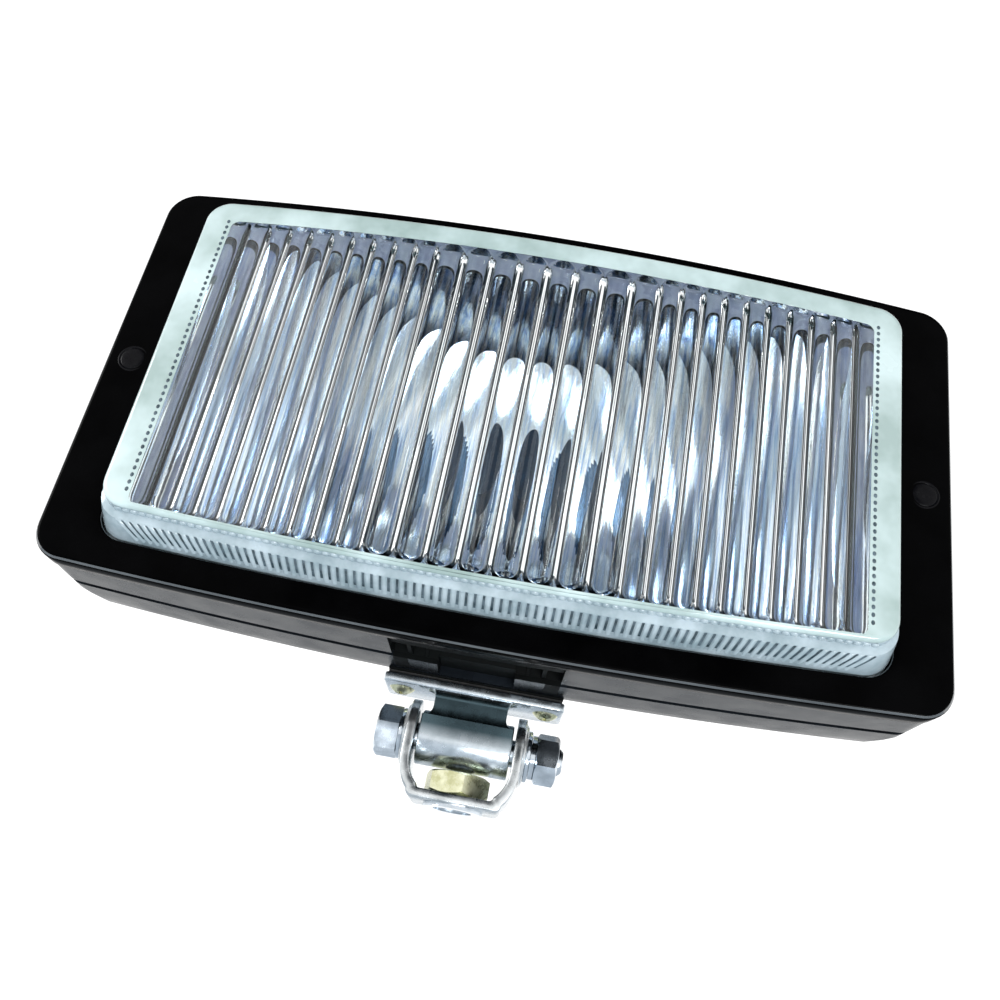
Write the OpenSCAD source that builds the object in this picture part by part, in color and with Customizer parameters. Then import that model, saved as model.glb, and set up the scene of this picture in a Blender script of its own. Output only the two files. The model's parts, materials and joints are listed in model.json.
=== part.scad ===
// Rectangular halogen fog lamp on a swivelling foot, front facing -Y, +Z up.
// The origin is the centre of the foot washer's underside, where the lamp meets its mounting surface.
// The lamp's own pieces are drawn in lamp coordinates: x to the side, y the depth behind the middle
// of the bezel's face, z up from the lamp's centre line. lamp() moves them into place.

/* [Bezel] */
// Width of the bezel
bezel_w = 187; // [184:1:192]
// Height of the bezel at its middle
bezel_h = 102; // [100:1:106]
// How much lower the top edge is at the ends than in the middle
edge_bow = 3.4; // [2:0.2:4]
// How far the ends of the face lie behind its middle
face_sag = 2.4; // [1.6:0.2:2.8]
// Radius of the bezel's corners
corner_r = 7.2; // [5:0.1:8]
// Distance of each bezel screw from the middle
screw_x = 87.2; // [87:0.1:87.6]

/* [Lens] */
// Width of the raised lens where it leaves the bezel
lens_w = 161; // [158:0.2:162]
// Height of the raised lens where it leaves the bezel, at its middle
lens_h = 88.2; // [86:0.2:88.6]
// How far the lens stands in front of the bezel
lens_proud = 8.5; // [6:0.5:9]
// Thickness of the pressed glass
glass_t = 3; // [2.6:0.2:3.4]

/* [Reflector] */
// Focal length of the reflector
focal = 26; // [25:0.5:28]
// Depth of the reflector's vertex behind the face
vertex_y = 60; // [59:0.5:61]

/* [Housing] */
// Overall depth of the housing behind the bezel's face
housing_d = 77; // [76:0.5:80]
// Wall of the housing
wall = 3.2; // [2.8:0.1:3.4]

/* [Bracket] */
// Height of the tilt pivot above the mounting surface
pivot_h = 14.4; // [14.2:0.1:16]
// Distance from the tilt pivot up to the lamp's centre line
lamp_rise = 63.4; // [63:0.1:65]
// Distance from the tilt pivot forward to the bezel's face
face_y = 37; // [36:0.5:38]
// Length of the rolled barrel
barrel_l = 20.8; // [20.6:0.2:21.6]
// Radius of the rolled barrel
barrel_r = 6; // [5.8:0.1:6.2]
// Width of the clevis front to back
clevis_d = 15.6; // [14:0.2:16]

/* [Hidden] */

big = 400;          // longer than any piece that a cut has to pass through
cut = 0.05;         // how far a cut runs past a face
gap = 0.1;          // clearance between pieces that are pressed together
press = 0.05;       // radial clearance of a running fit
fine = 64;          // facets of small round pieces

face_hw = bezel_w / 2;
face_hh = bezel_h / 2;

plate_t = 2.6;      // thickness of the bezel's front plate
skirt_d = 5;        // depth of the bezel's skirt
skirt_t = 1.9;      // thickness of the bezel's skirt
lens_bow = 2.8;     // bow of the lens's top and bottom edge
lens_r = 6;         // radius of the lens's corners
flange_step = 2.5;  // how far the lens flange reaches under the bezel
flange_y = 7.4;     // back of the lens flange
gasket_t = 1.6;     // thickness of the lens gasket
seat_y = flange_y + gasket_t;       // front of the reflector's flange
mirror_t = 1.5;     // wall of the reflector
ledge_y = seat_y + mirror_t;        // ledge in the housing that carries the reflector

body_hw = face_hw - 0.5;            // housing's half width behind the bezel
body_hh = face_hh - 0.6;            // housing's half height behind the bezel
groove_y = 19;      // start of the groove round the housing
groove_w = 2.3;     // width of that groove
groove_d = 1.1;     // depth of that groove
straight_end = 26.6;                // end of the housing's straight part at its corners
edge_end = 33.8;    // rear edge of the housing's sides
band_end = 36;      // start of the housing's domed rear

pad_y = 37.5;       // depth of the plate's screws
pad_z = -face_hh + 0.2;             // underside of the housing's mounting pad
pad_t = 0.6;        // thickness of the rubber pad
strip_t = 2;        // thickness of the mounting plate
plate_l = 41;       // length of the mounting plate
plate_x = 16.6;     // distance of the plate's screws from the middle
plate_top = pad_z - pad_t;
plate_front = face_y - barrel_r;    // plane of the tongue's front face
plate_back = 46.5;  // rear edge of the plate
tongue_hw = 8.2;    // half width of the tongue between plate and barrel
relief_z = 4.2;     // height of the reliefs' lower end above the pivot

clevis_t = 2;       // thickness of the clevis
ear_in = 11;        // inner face of each ear
ear_out = ear_in + clevis_t;
ear_r = 7.9;        // radius of the ears round the pivot
boss_h = 0.8;       // height of the raised boss round each ear's hole
ear_boss_r = 6.2;   // radius of that boss
foot_hw = 10.4;     // half width of the clevis at its web
washer_t = 0.8;     // thickness of the foot washer
web_z = washer_t;   // underside of the clevis web
bolt_r = 3;         // M6 shank
hex_af = 10;        // M6 width across flats
hex_r = hex_af / 2 / cos(30);
pivot_washer_t = 1; // thickness of the plain washers on the pivot bolt
head_x = ear_out + boss_h + pivot_washer_t;      // seat of the bolt's head and of the nut's stack

// Half outline of a rounded rectangle with bowed long edges: half width, half height, bow, corner radius
function ring(hw, hh, bow, r, steps = 7, spans = 14) =
    let (inner = hw - r, drop = bow * pow(inner / hw, 2), zc = hh - drop - r,
         corner = [for (i = [0:steps]) 90 * i / steps],
         across = [for (i = [1:spans - 1]) inner * (1 - 2 * i / spans)])
    concat([for (a = corner) [inner + r * cos(a), zc + r * sin(a)]],
           [for (x = across) [x, hh - bow * pow(x / hw, 2)]],
           [for (a = corner) [-inner - r * sin(a), zc + r * cos(a)]],
           [for (a = corner) [-inner - r * cos(a), -zc - r * sin(a)]],
           [for (x = across) [-x, -hh + bow * pow(x / hw, 2)]],
           [for (a = corner) [inner + r * sin(a), -zc - r * cos(a)]]);

// Closed skin through rings at rising depth; each station is [y, half width, half height, bow, radius]
module skin(stations) {
    rings = [for (s = stations) [for (p = ring(s[1], s[2], s[3], s[4])) [p[0], s[0], p[1]]]];
    n = len(rings[0]);
    m = len(rings);
    points = [for (r = rings) for (p = r) p];
    sides = [for (k = [0:m - 2]) for (i = [0:n - 1]) for (t = [0, 1])
             let (a = k * n + i, b = k * n + (i + 1) % n, c = a + n, d = b + n)
             t == 0 ? [a, b, d] : [a, d, c]];
    front = [[for (i = [n - 1:-1:0]) i]];
    back = [[for (i = [0:n - 1]) (m - 1) * n + i]];
    polyhedron(points, concat(front, sides, back), convexity = 6);
}

// Moves a piece from lamp coordinates into place
module lamp() translate([0, -face_y, pivot_h + lamp_rise]) children();

// Moves a piece from coordinates centred on the tilt pivot into place
module pivot() translate([0, 0, pivot_h]) children();

// Plate of the given outline from depth y0 to depth y1
module slab(outline, y0, y1)
    translate([0, y1, 0]) rotate([90, 0, 0]) linear_extrude(y1 - y0) polygon(outline);

// How far the face lies behind its middle at x
function face_depth(x) = face_sag * pow(x / face_hw, 2);

// Everything behind the face's curve moved back by y
module behind_face(y) {
    reach = 1.1 * face_hw;
    curve_n = 20;
    translate([0, y, -big / 2]) linear_extrude(big)
        polygon(concat([for (i = [-curve_n:curve_n]) let (x = reach * i / curve_n) [x, face_depth(x)]],
                       [[reach, big], [-reach, big]]));
}

// Round bar along x, y or z, starting at the origin
module bar_x(r, l) rotate([0, 90, 0]) cylinder(h = l, r = r, $fn = fine);
module bar_y(r, l) rotate([-90, 0, 0]) cylinder(h = l, r = r, $fn = fine);
module bar_z(r, l) cylinder(h = l, r = r, $fn = fine);

// Hexagon along x, with a corner up
module hex_x(r, l) rotate([0, 90, 0]) cylinder(h = l, r = r, $fn = 6);

// Copies a piece to both sides
module both_sides() for (side = [0, 1]) mirror([side, 0, 0]) children();

foot_washer_r = 6.6;
foot_hole_r = 4.2;  // clearance hole for the vehicle's M8 bolt

module foot_washer() {
    color("silver") difference() {
        bar_z(foot_washer_r, washer_t);
        translate([0, 0, -cut]) bar_z(foot_hole_r, washer_t + 2 * cut);
    }
}

nut_z = web_z + clevis_t + gap;     // underside of the foot nut
foot_nut_h = 4.8;   // height of the foot nut
foot_af = 13;       // width of the foot nut across flats
foot_core_r = 3.4;  // core radius of the M8 thread
foot_corner_r = 7.3;                // radius to which the nut's corners are turned off
foot_chamfer = 0.7; // chamfer round the nut's underside
foot_turn = 12;     // how far the nut is turned

module foot_nut() {
    color("khaki") translate([0, 0, nut_z]) rotate([0, 0, foot_turn]) intersection() {
        difference() {
            cylinder(h = foot_nut_h, r = foot_af / 2 / cos(30), $fn = 6);
            translate([0, 0, -cut]) bar_z(foot_core_r, foot_nut_h + 2 * cut);
        }
        union() {
            cylinder(h = foot_chamfer, r1 = foot_corner_r - foot_chamfer, r2 = foot_corner_r, $fn = fine);
            translate([0, 0, foot_chamfer]) bar_z(foot_corner_r, foot_nut_h - foot_chamfer);
        }
    }
}

web_bottom = web_z - pivot_h;       // underside of the web, from the pivot

foot_round = 0.9;   // size of the clevis's corners between web and ears
ear_low = -4.2;     // height of the ears' straight part below the pivot
ear_n = 6;          // points along each ear's lean

// Half outline of the clevis across the lamp, grown outwards by t: a flat web and a leaning ear
function clevis_half(t, z_top) =
    let (foot = foot_hw - clevis_t + t, ear = ear_in + t, z0 = web_bottom + clevis_t - t,
         za = z0 + foot_round)
    [[0, z0], [foot - foot_round, z0], [foot - 0.3 * foot_round, z0 + 0.3 * foot_round], [foot, za],
     for (i = [1:ear_n]) let (lean = 90 * i / ear_n)
         [foot + (ear - foot) * sin(lean), za + (ear_low - za) * (1 - cos(lean) + lean / 90) / 2],
     [ear, z_top], [0, z_top]];

module clevis() {
    color("lightgray") pivot() difference() {
        intersection() {
            union() {
                difference() {
                    both_sides() slab(clevis_half(clevis_t, ear_r), -clevis_d / 2, clevis_d / 2);
                    both_sides() slab(clevis_half(0, big), -big / 2, big / 2);
                }
                both_sides() translate([ear_out - cut, 0, 0]) bar_x(ear_boss_r, boss_h + cut);
            }
            union() {
                translate([-big / 2, 0, 0]) bar_x(ear_r, big);
                translate([-big / 2, -clevis_d / 2, -big]) cube([big, clevis_d, big]);
            }
        }
        translate([-big / 2, 0, 0]) bar_x(bolt_r + press, big);
        translate([0, 0, web_bottom - cut]) bar_z(foot_hole_r, clevis_t + 2 * cut);
    }
}

bolt_tip = 22;      // where the bolt's shank ends, right of the middle
head_h = 5;         // height of the bolt's head
nut_h = 5;          // height of the pivot nut
bolt_turn = 20;     // how far the head is turned
nut_turn = -8;      // how far the nut is turned
chamfer_r = hex_af / 2 + 0.55;      // radius to which the hexagons' corners are turned off

module pivot_bolt() {
    color("silver") pivot() {
        translate([-head_x - head_h, 0, 0]) intersection() {
            rotate([bolt_turn, 0, 0]) hex_x(hex_r, head_h);
            bar_x(chamfer_r, head_h);
        }
        translate([-head_x - cut, 0, 0]) bar_x(bolt_r, bolt_tip + head_x);
    }
}

pivot_washer_r = 5.6;

module pivot_washers() {
    color("silver") pivot() both_sides() translate([ear_out + boss_h, 0, 0]) difference() {
        bar_x(pivot_washer_r, pivot_washer_t - gap);
        translate([-cut, 0, 0]) bar_x(bolt_r + press, pivot_washer_t);
    }
}

spring_t = 1.1;     // thickness of the spring washer
spring_r = 4.8;     // radius of the spring washer
spring_slot = 0.7;  // width of its split

module pivot_spring_washer() {
    color("gray") pivot() translate([head_x, 0, 0]) difference() {
        bar_x(spring_r, spring_t - gap);
        translate([-cut, 0, 0]) bar_x(bolt_r + press, spring_t);
        translate([-cut, -spring_slot / 2, 0]) cube([spring_t, spring_slot, 2 * spring_r]);
    }
}

module pivot_nut() {
    color("silver") pivot() translate([head_x + spring_t, 0, 0]) difference() {
        intersection() {
            rotate([nut_turn, 0, 0]) hex_x(hex_r, nut_h);
            bar_x(chamfer_r, nut_h);
        }
        translate([-cut, 0, 0]) bar_x(bolt_r + press, nut_h + 2 * cut);
    }
}

relief_r = 1.9;     // corner radius of the reliefs beside the tongue
relief_n = 5;       // points round each of those corners
screw_room = 0.2;   // radial clearance of the plate's screws
seam_w = 0.4;       // width of the seam where the rolled strip meets itself
pad_inset = 0.8;    // how far the rubber pad stays inside the plate's ends

// Outline of the relief right of the tongue
function relief() =
    let (x = tongue_hw + relief_r, top = lamp_rise + plate_top - strip_t,
         turns = [for (i = [0:relief_n]) 90 * i / relief_n])
    [[barrel_l, relief_z],
     for (a = turns) [x - relief_r * sin(a), relief_z + relief_r * (1 - cos(a))],
     for (a = turns) [x - relief_r * cos(a), top - relief_r * (1 - sin(a))],
     [barrel_l, top]];

module mount_plate() {
    color("lightsteelblue") difference() {
        union() {
            lamp() {
                translate([-plate_l / 2, plate_front, plate_top - strip_t])
                    cube([plate_l, plate_back - plate_front, strip_t]);
                translate([-barrel_l / 2, plate_front, -lamp_rise])
                    cube([barrel_l, barrel_r - bolt_r, lamp_rise + plate_top - strip_t / 2]);
            }
            pivot() translate([-barrel_l / 2, 0, 0]) bar_x(barrel_r, barrel_l);
        }
        pivot() translate([-big / 2, 0, 0]) bar_x(bolt_r + press, big);
        lamp() both_sides() {
            translate([plate_x, pad_y, plate_top - 2 * strip_t]) bar_z(screw_r + screw_room, 3 * strip_t);
        }
        pivot() both_sides() slab(relief(), plate_front - face_y - 1, -bolt_r);
        // seam where the end of the rolled strip meets itself
        pivot() translate([-barrel_l / 2 - cut, -seam_w / 2, bolt_r])
            cube([barrel_l + 2 * cut, seam_w, barrel_r]);
    }
}

module plate_pad() {
    color("dimgray") lamp() difference() {
        translate([-plate_l / 2 + pad_inset, plate_front + pad_inset, pad_z - pad_t])
            cube([plate_l - 2 * pad_inset, plate_back - plate_front - 2 * pad_inset, pad_t]);
        both_sides() translate([plate_x, pad_y, pad_z - 2 * pad_t]) bar_z(screw_r + screw_room, 3 * pad_t);
    }
}

screw_r = 2;        // M4 fixing screws of the plate
screw_head_h = 1.4; // height of their domed heads
screw_head_r = 2.9; // radius of their domed heads
dome_r = (screw_head_r * screw_head_r + screw_head_h * screw_head_h) / (2 * screw_head_h);
cross_l = 2.8;      // length of each slot of the cross recess
cross_w = 0.8;      // width of those slots
cross_d = 0.9;      // depth of those slots
plate_nut_z = -47.5;                // underside of the captive nuts in the housing's pad
plate_nut_h = 3.2;  // height of those nuts
plate_nut_af = 7;   // width of those nuts across flats

module plate_screws() {
    color("goldenrod") lamp() both_sides() translate([plate_x, pad_y, plate_top - strip_t]) {
        translate([0, 0, -cut]) bar_z(screw_r, plate_nut_z + plate_nut_h + 0.5 - plate_top + strip_t);
        difference() {
            translate([0, 0, dome_r - screw_head_h]) sphere(r = dome_r, $fn = 96);
            cylinder(h = 3 * dome_r, r = 2 * dome_r, $fn = fine);
            for (turn = [0, 90]) rotate([0, 0, turn])
                translate([-cross_l / 2, -cross_w / 2, -screw_head_h - cut])
                    cube([cross_l, cross_w, cross_d]);
        }
    }
}

module plate_nuts() {
    color("silver") lamp() both_sides() translate([plate_x, pad_y, plate_nut_z]) difference() {
        cylinder(h = plate_nut_h, r = plate_nut_af / 2 / cos(30), $fn = 6);
        translate([0, 0, -cut]) bar_z(screw_r + press, plate_nut_h + 2 * cut);
    }
}

rear_hw = 46;       // half width of the flat rear
rear_hh = 24;       // half height of the flat rear
rear_r = 14;        // corner radius of the flat rear
dome_start = 0.4;   // how steeply the domed rear starts
inner_r = 1.2;      // smallest corner radius inside the housing

// Outer shape of the housing from the bezel's joint to its rear, made smaller by an inset: each row
// is [depth, loss of half width, loss of half height, corner radius], then a domed rear follows
function shell(inset) =
    let (rows = [[-cut, 0, 0, 6], [straight_end, 0.6, 0, 3], [edge_end, 3.4, 0.1, 3.2],
                 [band_end, 5.6, 1, 7]],
         last = rows[3])
    [for (k = rows) [k[0], body_hw - k[1] - inset, body_hh - k[2] - inset, edge_bow,
                     max(inner_r, k[3] - inset)],
     for (t = [1:6]) let (a = 15 * t, fall = dome_start * sin(a) + (1 - dome_start) * (1 - cos(a)))
         [band_end + (housing_d - band_end - inset) * sin(a),
          (body_hw - last[1]) * (1 - fall) + rear_hw * fall - inset,
          (body_hh - last[2]) * (1 - fall) + rear_hh * fall - inset,
          edge_bow * (1 - 0.5 * fall), last[3] * (1 - fall) + rear_r * fall - inset]];

pocket_hw = 18.2;   // half width of the pocket under the lamp
pocket_y = 6;       // front end of the pocket
pocket_step = 12.6; // where the pocket gets deeper
pocket_back = groove_y + 1.2;       // rear end of the pocket
pocket_d = 4.6;     // height of the pocket's deep part above the bezel's lower edge
shallow_d = 1.4;    // height of the pocket's shallow part above the same edge
recess_d = 2.4;     // height of the recess above the same edge
recess_l = 11;      // length of the recess
pocket_t = 2;       // thickness of the pocket's walls
rib_x = 14.4;       // distance of the pocket's ribs from the middle
recess_hw = 8.4;    // half width of the smaller recess behind the groove
boss_r = 3.3;       // bosses that take the bezel's screws
boss_l = 16;        // length of those bosses
bezel_screw_r = 1.5;
screw_l = 16;       // length of the bezel's screws
block_x = 22;       // sideways place of the terminal block
block_w = 26;       // width of the terminal block's body
block_h = 13.4;     // height of the terminal block's body
block_y = housing_d - 6;            // front of the terminal block
rim_y = housing_d + 2;              // rear face of the inlet's rim
flange_w = block_w + 12;            // width of the block's outer flange
flange_h = block_h + 4;             // height of the block's outer flange

wall_y = ledge_y + 0.5;             // front of the pocket's walls, behind the reflector's flange
rib_t = 1;          // thickness of the pocket's ribs
pad_room = 3;       // wall round the hollow above the mounting pad
pad_top = 6.8;      // height of the mounting pad
pad_l = plate_l - 1;                // length of the mounting pad
pad_d = plate_back - plate_front - 1.5;          // depth of the mounting pad front to back
nut_boss_r = 5.4;   // bosses that hold the plate's captive nuts
nut_room = 0.2;     // clearance across the captive nuts' flats

// Box under the lamp, centred in x: half width, from depth y0 to y1, heights above the bezel's lower edge
module below_box(hw, y0, y1, z0, z1) translate([-hw, y0, -face_hh + z0]) cube([2 * hw, y1 - y0, z1 - z0]);

module housing() {
    color([0.12, 0.13, 0.15]) lamp() difference() {
        union() {
            difference() {
                intersection() {
                    skin(shell(0));
                    behind_face(skirt_d);
                }
                // groove round the sides
                difference() {
                    slab(ring(big / 2, big / 2, 0, 5), groove_y, groove_y + groove_w);
                    slab(ring(body_hw - groove_d, body_hh - groove_d, edge_bow, corner_r - 1),
                         groove_y - cut, groove_y + groove_w + cut);
                }
                // hollow, with the rabbet that takes the reflector's flange
                skin(shell(wall));
                slab(ring(body_hw - 1.8, body_hh - 1.8, edge_bow, corner_r - 2), -cut, ledge_y);
                // pocket and recess under the lamp
                below_box(pocket_hw, pocket_y, pocket_back, -1, shallow_d);
                below_box(pocket_hw, pocket_step, pocket_back, -1, pocket_d);
                below_box(recess_hw, groove_y, groove_y + recess_l, -1, recess_d);
            }
            // walls round the deep part of the pocket
            below_box(pocket_hw + pocket_t, wall_y, pocket_back + pocket_t, pocket_d, pocket_d + pocket_t);
            below_box(pocket_hw + pocket_t, wall_y, pocket_step, shallow_d + 1, pocket_d + pocket_t);
            both_sides() translate([pocket_hw, wall_y, -face_hh + shallow_d + 1])
                cube([pocket_t, pocket_back + pocket_t - wall_y, pocket_d]);
            below_box(pocket_hw + pocket_t, pocket_back, pocket_back + 3.3, recess_d + 0.4,
                      pocket_d + pocket_t);
            // two ribs that stiffen the pocket
            both_sides() translate([rib_x - rib_t / 2, pocket_step - cut, -face_hh + shallow_d - 0.2])
                cube([rib_t, pocket_back + 0.2 - pocket_step, pocket_d]);
            // mounting pad with its flat underside
            difference() {
                translate([-pad_l / 2, plate_front + 1, pad_z]) cube([pad_l, pad_d, pad_top]);
                translate([-pad_l / 2 + pad_room, plate_front + 1 + pad_room, pad_z + pad_room])
                    cube([pad_l - 2 * pad_room, pad_d - 2 * pad_room, big]);
            }
            both_sides() translate([plate_x, pad_y, pad_z]) bar_z(nut_boss_r, plate_nut_z + plate_nut_h - pad_z);
            // bosses for the bezel's screws
            both_sides() translate([screw_x, ledge_y, 0]) bar_y(boss_r, boss_l);
            // rim of the rear inlet
            translate([block_x - flange_w / 2 - 1, block_y, -flange_h / 2 - 1])
                cube([flange_w + 2, rim_y - block_y, flange_h + 2]);
        }
        both_sides() translate([plate_x, pad_y, pad_z - 1]) bar_z(screw_r + screw_room, 20);
        both_sides() translate([plate_x, pad_y, plate_nut_z - cut])
            cylinder(h = 10, r = (plate_nut_af + nut_room) / 2 / cos(30), $fn = 6);
        both_sides() translate([screw_x, 0, 0]) bar_y(bezel_screw_r, head_seat + screw_l + 0.5);
        // opening of the rear inlet
        translate([block_x - block_w / 2 - gap, block_y - 4, -block_h / 2 - gap])
            cube([block_w + 2 * gap, 16, block_h + 2 * gap]);
        translate([block_x, 0, 0]) both_sides() translate([block_screw_x, block_y + 1, 0])
            bar_y(block_screw_r, 10);
    }
}

cap_r = 2.7;        // plastic plugs over the bezel's screws
cap_t = 1.2;        // thickness of those plugs
cap_sunk = 0.15;    // how far they sit below the face
screw_head = 2.5;   // radius of the bezel screw's head
bezel_head_t = 1.6; // thickness of the bezel screw's head
slot_l = 3.8;       // length of the slot in that head
slot_w = 0.7;       // width of that slot
slot_d = 0.8;       // depth of that slot
face_at_screw = face_depth(screw_x);
head_seat = face_at_screw + 3.4;    // depth of the seat under each bezel screw's head

module bezel() {
    color([0.05, 0.05, 0.06]) lamp() difference() {
        union() {
            difference() {
                intersection() {
                    slab(ring(face_hw, face_hh, edge_bow, corner_r), 0, skirt_d + face_sag + 1);
                    behind_face(0);
                }
                intersection() {
                    slab(ring(face_hw - skirt_t, face_hh - skirt_t, edge_bow, corner_r - 1.6), 0, big / 4);
                    behind_face(plate_t);
                }
                behind_face(skirt_d - gap);
            }
            both_sides() translate([screw_x, face_at_screw + 1, 0])
                bar_y(boss_r, seat_y - gap - face_at_screw - 1);
        }
        slab(ring(lens_w / 2 + 0.3, lens_h / 2 + 0.3, lens_bow, lens_r), -big / 4, big / 4);
        both_sides() translate([screw_x, 0, 0]) bar_y(bezel_screw_r + 0.1, 20);
        both_sides() translate([screw_x, 0, 0]) bar_y(cap_r + press, head_seat);
    }
}

module bezel_screws() {
    color("silver") lamp() both_sides() translate([screw_x, head_seat - bezel_head_t, 0]) {
        difference() {
            bar_y(screw_head, bezel_head_t - gap);
            translate([-slot_l / 2, slot_d - 2, -slot_w / 2]) cube([slot_l, 2, slot_w]);
        }
        translate([0, bezel_head_t - 0.2, 0]) bar_y(bezel_screw_r - press, screw_l);
    }
}

module screw_caps() {
    color("black") lamp() both_sides() translate([screw_x, face_at_screw + cap_sunk, 0])
        bar_y(cap_r, cap_t);
}

lens_slope_x = 1.5; // how much narrower each side of the lens is at its front
lens_slope_z = 2.8; // how much lower the lens's top and bottom are at its front
flute_n_side = 10;  // narrow flutes at each side of the lens
flute_n_mid = 8;    // wide flutes in its middle
flute_w_side = 4.82;                // width of the narrow flutes
flute_w_mid = 6.3;  // width of the wide flutes
flute_hh = 36.5;    // half length of each flute
mid_hw = flute_n_mid * flute_w_mid / 2;
flute_hw = mid_hw + flute_n_side * flute_w_side;
flute_depth = 1.3;  // depth of each flute
flute_steps = 8;    // points along one flute

// Depth of the fluted inner surface at x, behind the middle of the lens's inner face
function flute_wave(x) =
    let (a = abs(x), w = a < mid_hw ? flute_w_mid : flute_w_side, start = a < mid_hw ? 0 : mid_hw)
    face_depth(x) + flute_depth * sqrt(max(0, 1 - pow(2 * ((a - start) / w % 1) - 1, 2)));

module lens() {
    front = lens_w / 2 - lens_slope_x;
    top = lens_h / 2 - lens_slope_z;
    inner_y = glass_t - lens_proud;
    n = floor(2 * flute_hw / flute_w_side) * flute_steps;
    color([0.8, 0.9, 0.93, 0.5]) lamp() {
        difference() {
            union() {
                intersection() {
                    skin([[-lens_proud, front, top, lens_bow, lens_r - 0.5],
                          [0, lens_w / 2, lens_h / 2, lens_bow, lens_r],
                          [flange_y, lens_w / 2, lens_h / 2, lens_bow, lens_r]]);
                    behind_face(-lens_proud);
                }
                intersection() {
                    slab(ring(lens_w / 2 + flange_step, lens_h / 2 + flange_step, lens_bow, lens_r), 0,
                         flange_y);
                    behind_face(plate_t + gap);
                }
            }
            intersection() {
                slab(ring(front - glass_t, top - glass_t, lens_bow, lens_r - 2), -lens_proud, flange_y + 1);
                behind_face(inner_y);
            }
        }
        // flutes on the inside of the front wall
        translate([0, inner_y, -flute_hh]) linear_extrude(2 * flute_hh)
            polygon(concat([for (i = [0:n]) let (x = -flute_hw + 2 * flute_hw * i / n) [x, flute_wave(x)]],
                           [for (i = [16:-1:-16]) let (x = flute_hw * i / 16)
                            [x, face_depth(x) - glass_t / 2]]));
    }
}

module lens_gasket() {
    color("black") lamp() difference() {
        slab(ring(lens_w / 2 + flange_step, lens_h / 2 + flange_step, lens_bow, lens_r), flange_y, seat_y);
        slab(ring(lens_w / 2 - 1.4, lens_h / 2 - 1.4, lens_bow, lens_r - 1), 0, seat_y + 1);
    }
}

mirror_hw = lens_w / 2 - 2.4;       // half width of the mirror's opening
mirror_hh = lens_h / 2 - 2.4;       // half height of the mirror's opening
mirror_bow = 2.6;   // bow of its top and bottom edge
parabola_n = 26;    // points of the mirror's profile
parabola_r = 92;    // radius to which that profile runs
neck_r = 11;        // hole in the mirror for the bulb seat

// Solid in front of the paraboloid whose vertex lies at depth vertex_y + back
module before_mirror(back) {
    profile = [for (i = [0:parabola_n]) let (r = parabola_r * i / parabola_n)
               [r, r * r / (4 * focal) - back]];
    translate([0, vertex_y, 0]) rotate([90, 0, 0]) rotate_extrude($fn = 120)
        polygon(concat(profile, [[parabola_r, 160], [0, 160]]));
}

module reflector() {
    color("gainsboro") lamp() difference() {
        union() {
            intersection() {
                slab(ring(mirror_hw + mirror_t, mirror_hh + mirror_t, mirror_bow, 5), seat_y,
                     vertex_y + 3);
                before_mirror(mirror_t);
            }
            slab(ring(body_hw - 2.2, body_hh - 2.2, edge_bow, corner_r - 2.2), seat_y, ledge_y - gap);
        }
        intersection() {
            slab(ring(mirror_hw, mirror_hh, mirror_bow, 4), seat_y - 1, vertex_y + 3);
            before_mirror(0);
        }
        translate([0, vertex_y - 12, 0]) bar_y(neck_r, 20);
        both_sides() translate([screw_x, 0, 0]) bar_y(bezel_screw_r + 1, 20);
    }
}

filament_y = vertex_y - focal;      // the bulb's filament lies in the mirror's focus
base_y = filament_y + 25;           // front of the bulb's flange, on its seat
seat_floor = 1.4;   // thickness of the seat under the bulb's flange
seat_front = base_y - gap - seat_floor;
seat_flange_y = vertex_y + 0.7;     // front of the seat's flange, behind the mirror
seat_back = vertex_y + 2.4;         // rear face of the seat
seat_flange_r = 17; // radius of the seat's flange
base_r = 9.2;       // radius of the bulb's flange
hole_r = 6.3;       // hole that the bulb goes through

clip_r = 0.6;       // radius of the clip's hinge bar and catch bar
leg_r = 0.5;        // radius of the clip's legs
leg_x = 4.4;        // distance of each leg from the middle
hinge_z = 12.5;     // height of the clip's hinge
hinge_y = seat_back + 1.6;          // depth of the clip's hinge
clip_l = 24;        // distance from the hinge bar to the catch bar
bracket_t = 0.8;    // thickness of the clip's bracket
rivet_z = 15.2;     // height of the bracket's rivets above the middle, and of the catch's below it
rivet_x = 3;        // distance of those rivets from the middle
rivet_r = 0.9;      // radius of the rivets
rivet_head_r = 1.4; // radius of their heads
rivet_head_t = 0.5; // thickness of their heads

// Places of the rivets that hold the clip's bracket and its catch
module at_rivets() for (x = [-rivet_x, rivet_x], z = [-rivet_z, rivet_z]) translate([x, 0, z]) children();

module bulb_seat() {
    color("silver") lamp() difference() {
        union() {
            translate([0, seat_front, 0]) bar_y(neck_r - gap, seat_back - seat_front);
            translate([0, seat_flange_y, 0]) bar_y(seat_flange_r, seat_back - seat_flange_y);
        }
        translate([0, seat_front + seat_floor, 0]) bar_y(base_r + 0.3, 30);
        translate([0, seat_front - 1, 0]) bar_y(hole_r, 10);
        at_rivets() translate([0, seat_front, 0]) bar_y(rivet_r + press, 10);
    }
}

shield_y = 22;      // front of the bulb's shield
shield_r = 9.5;     // radius of the bulb's shield
shield_l = 13;      // length of the bulb's shield
shield_t = 0.8;     // thickness of the bulb's shield
shield_leg = 3;     // overlap of each leg with the shield

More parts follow.
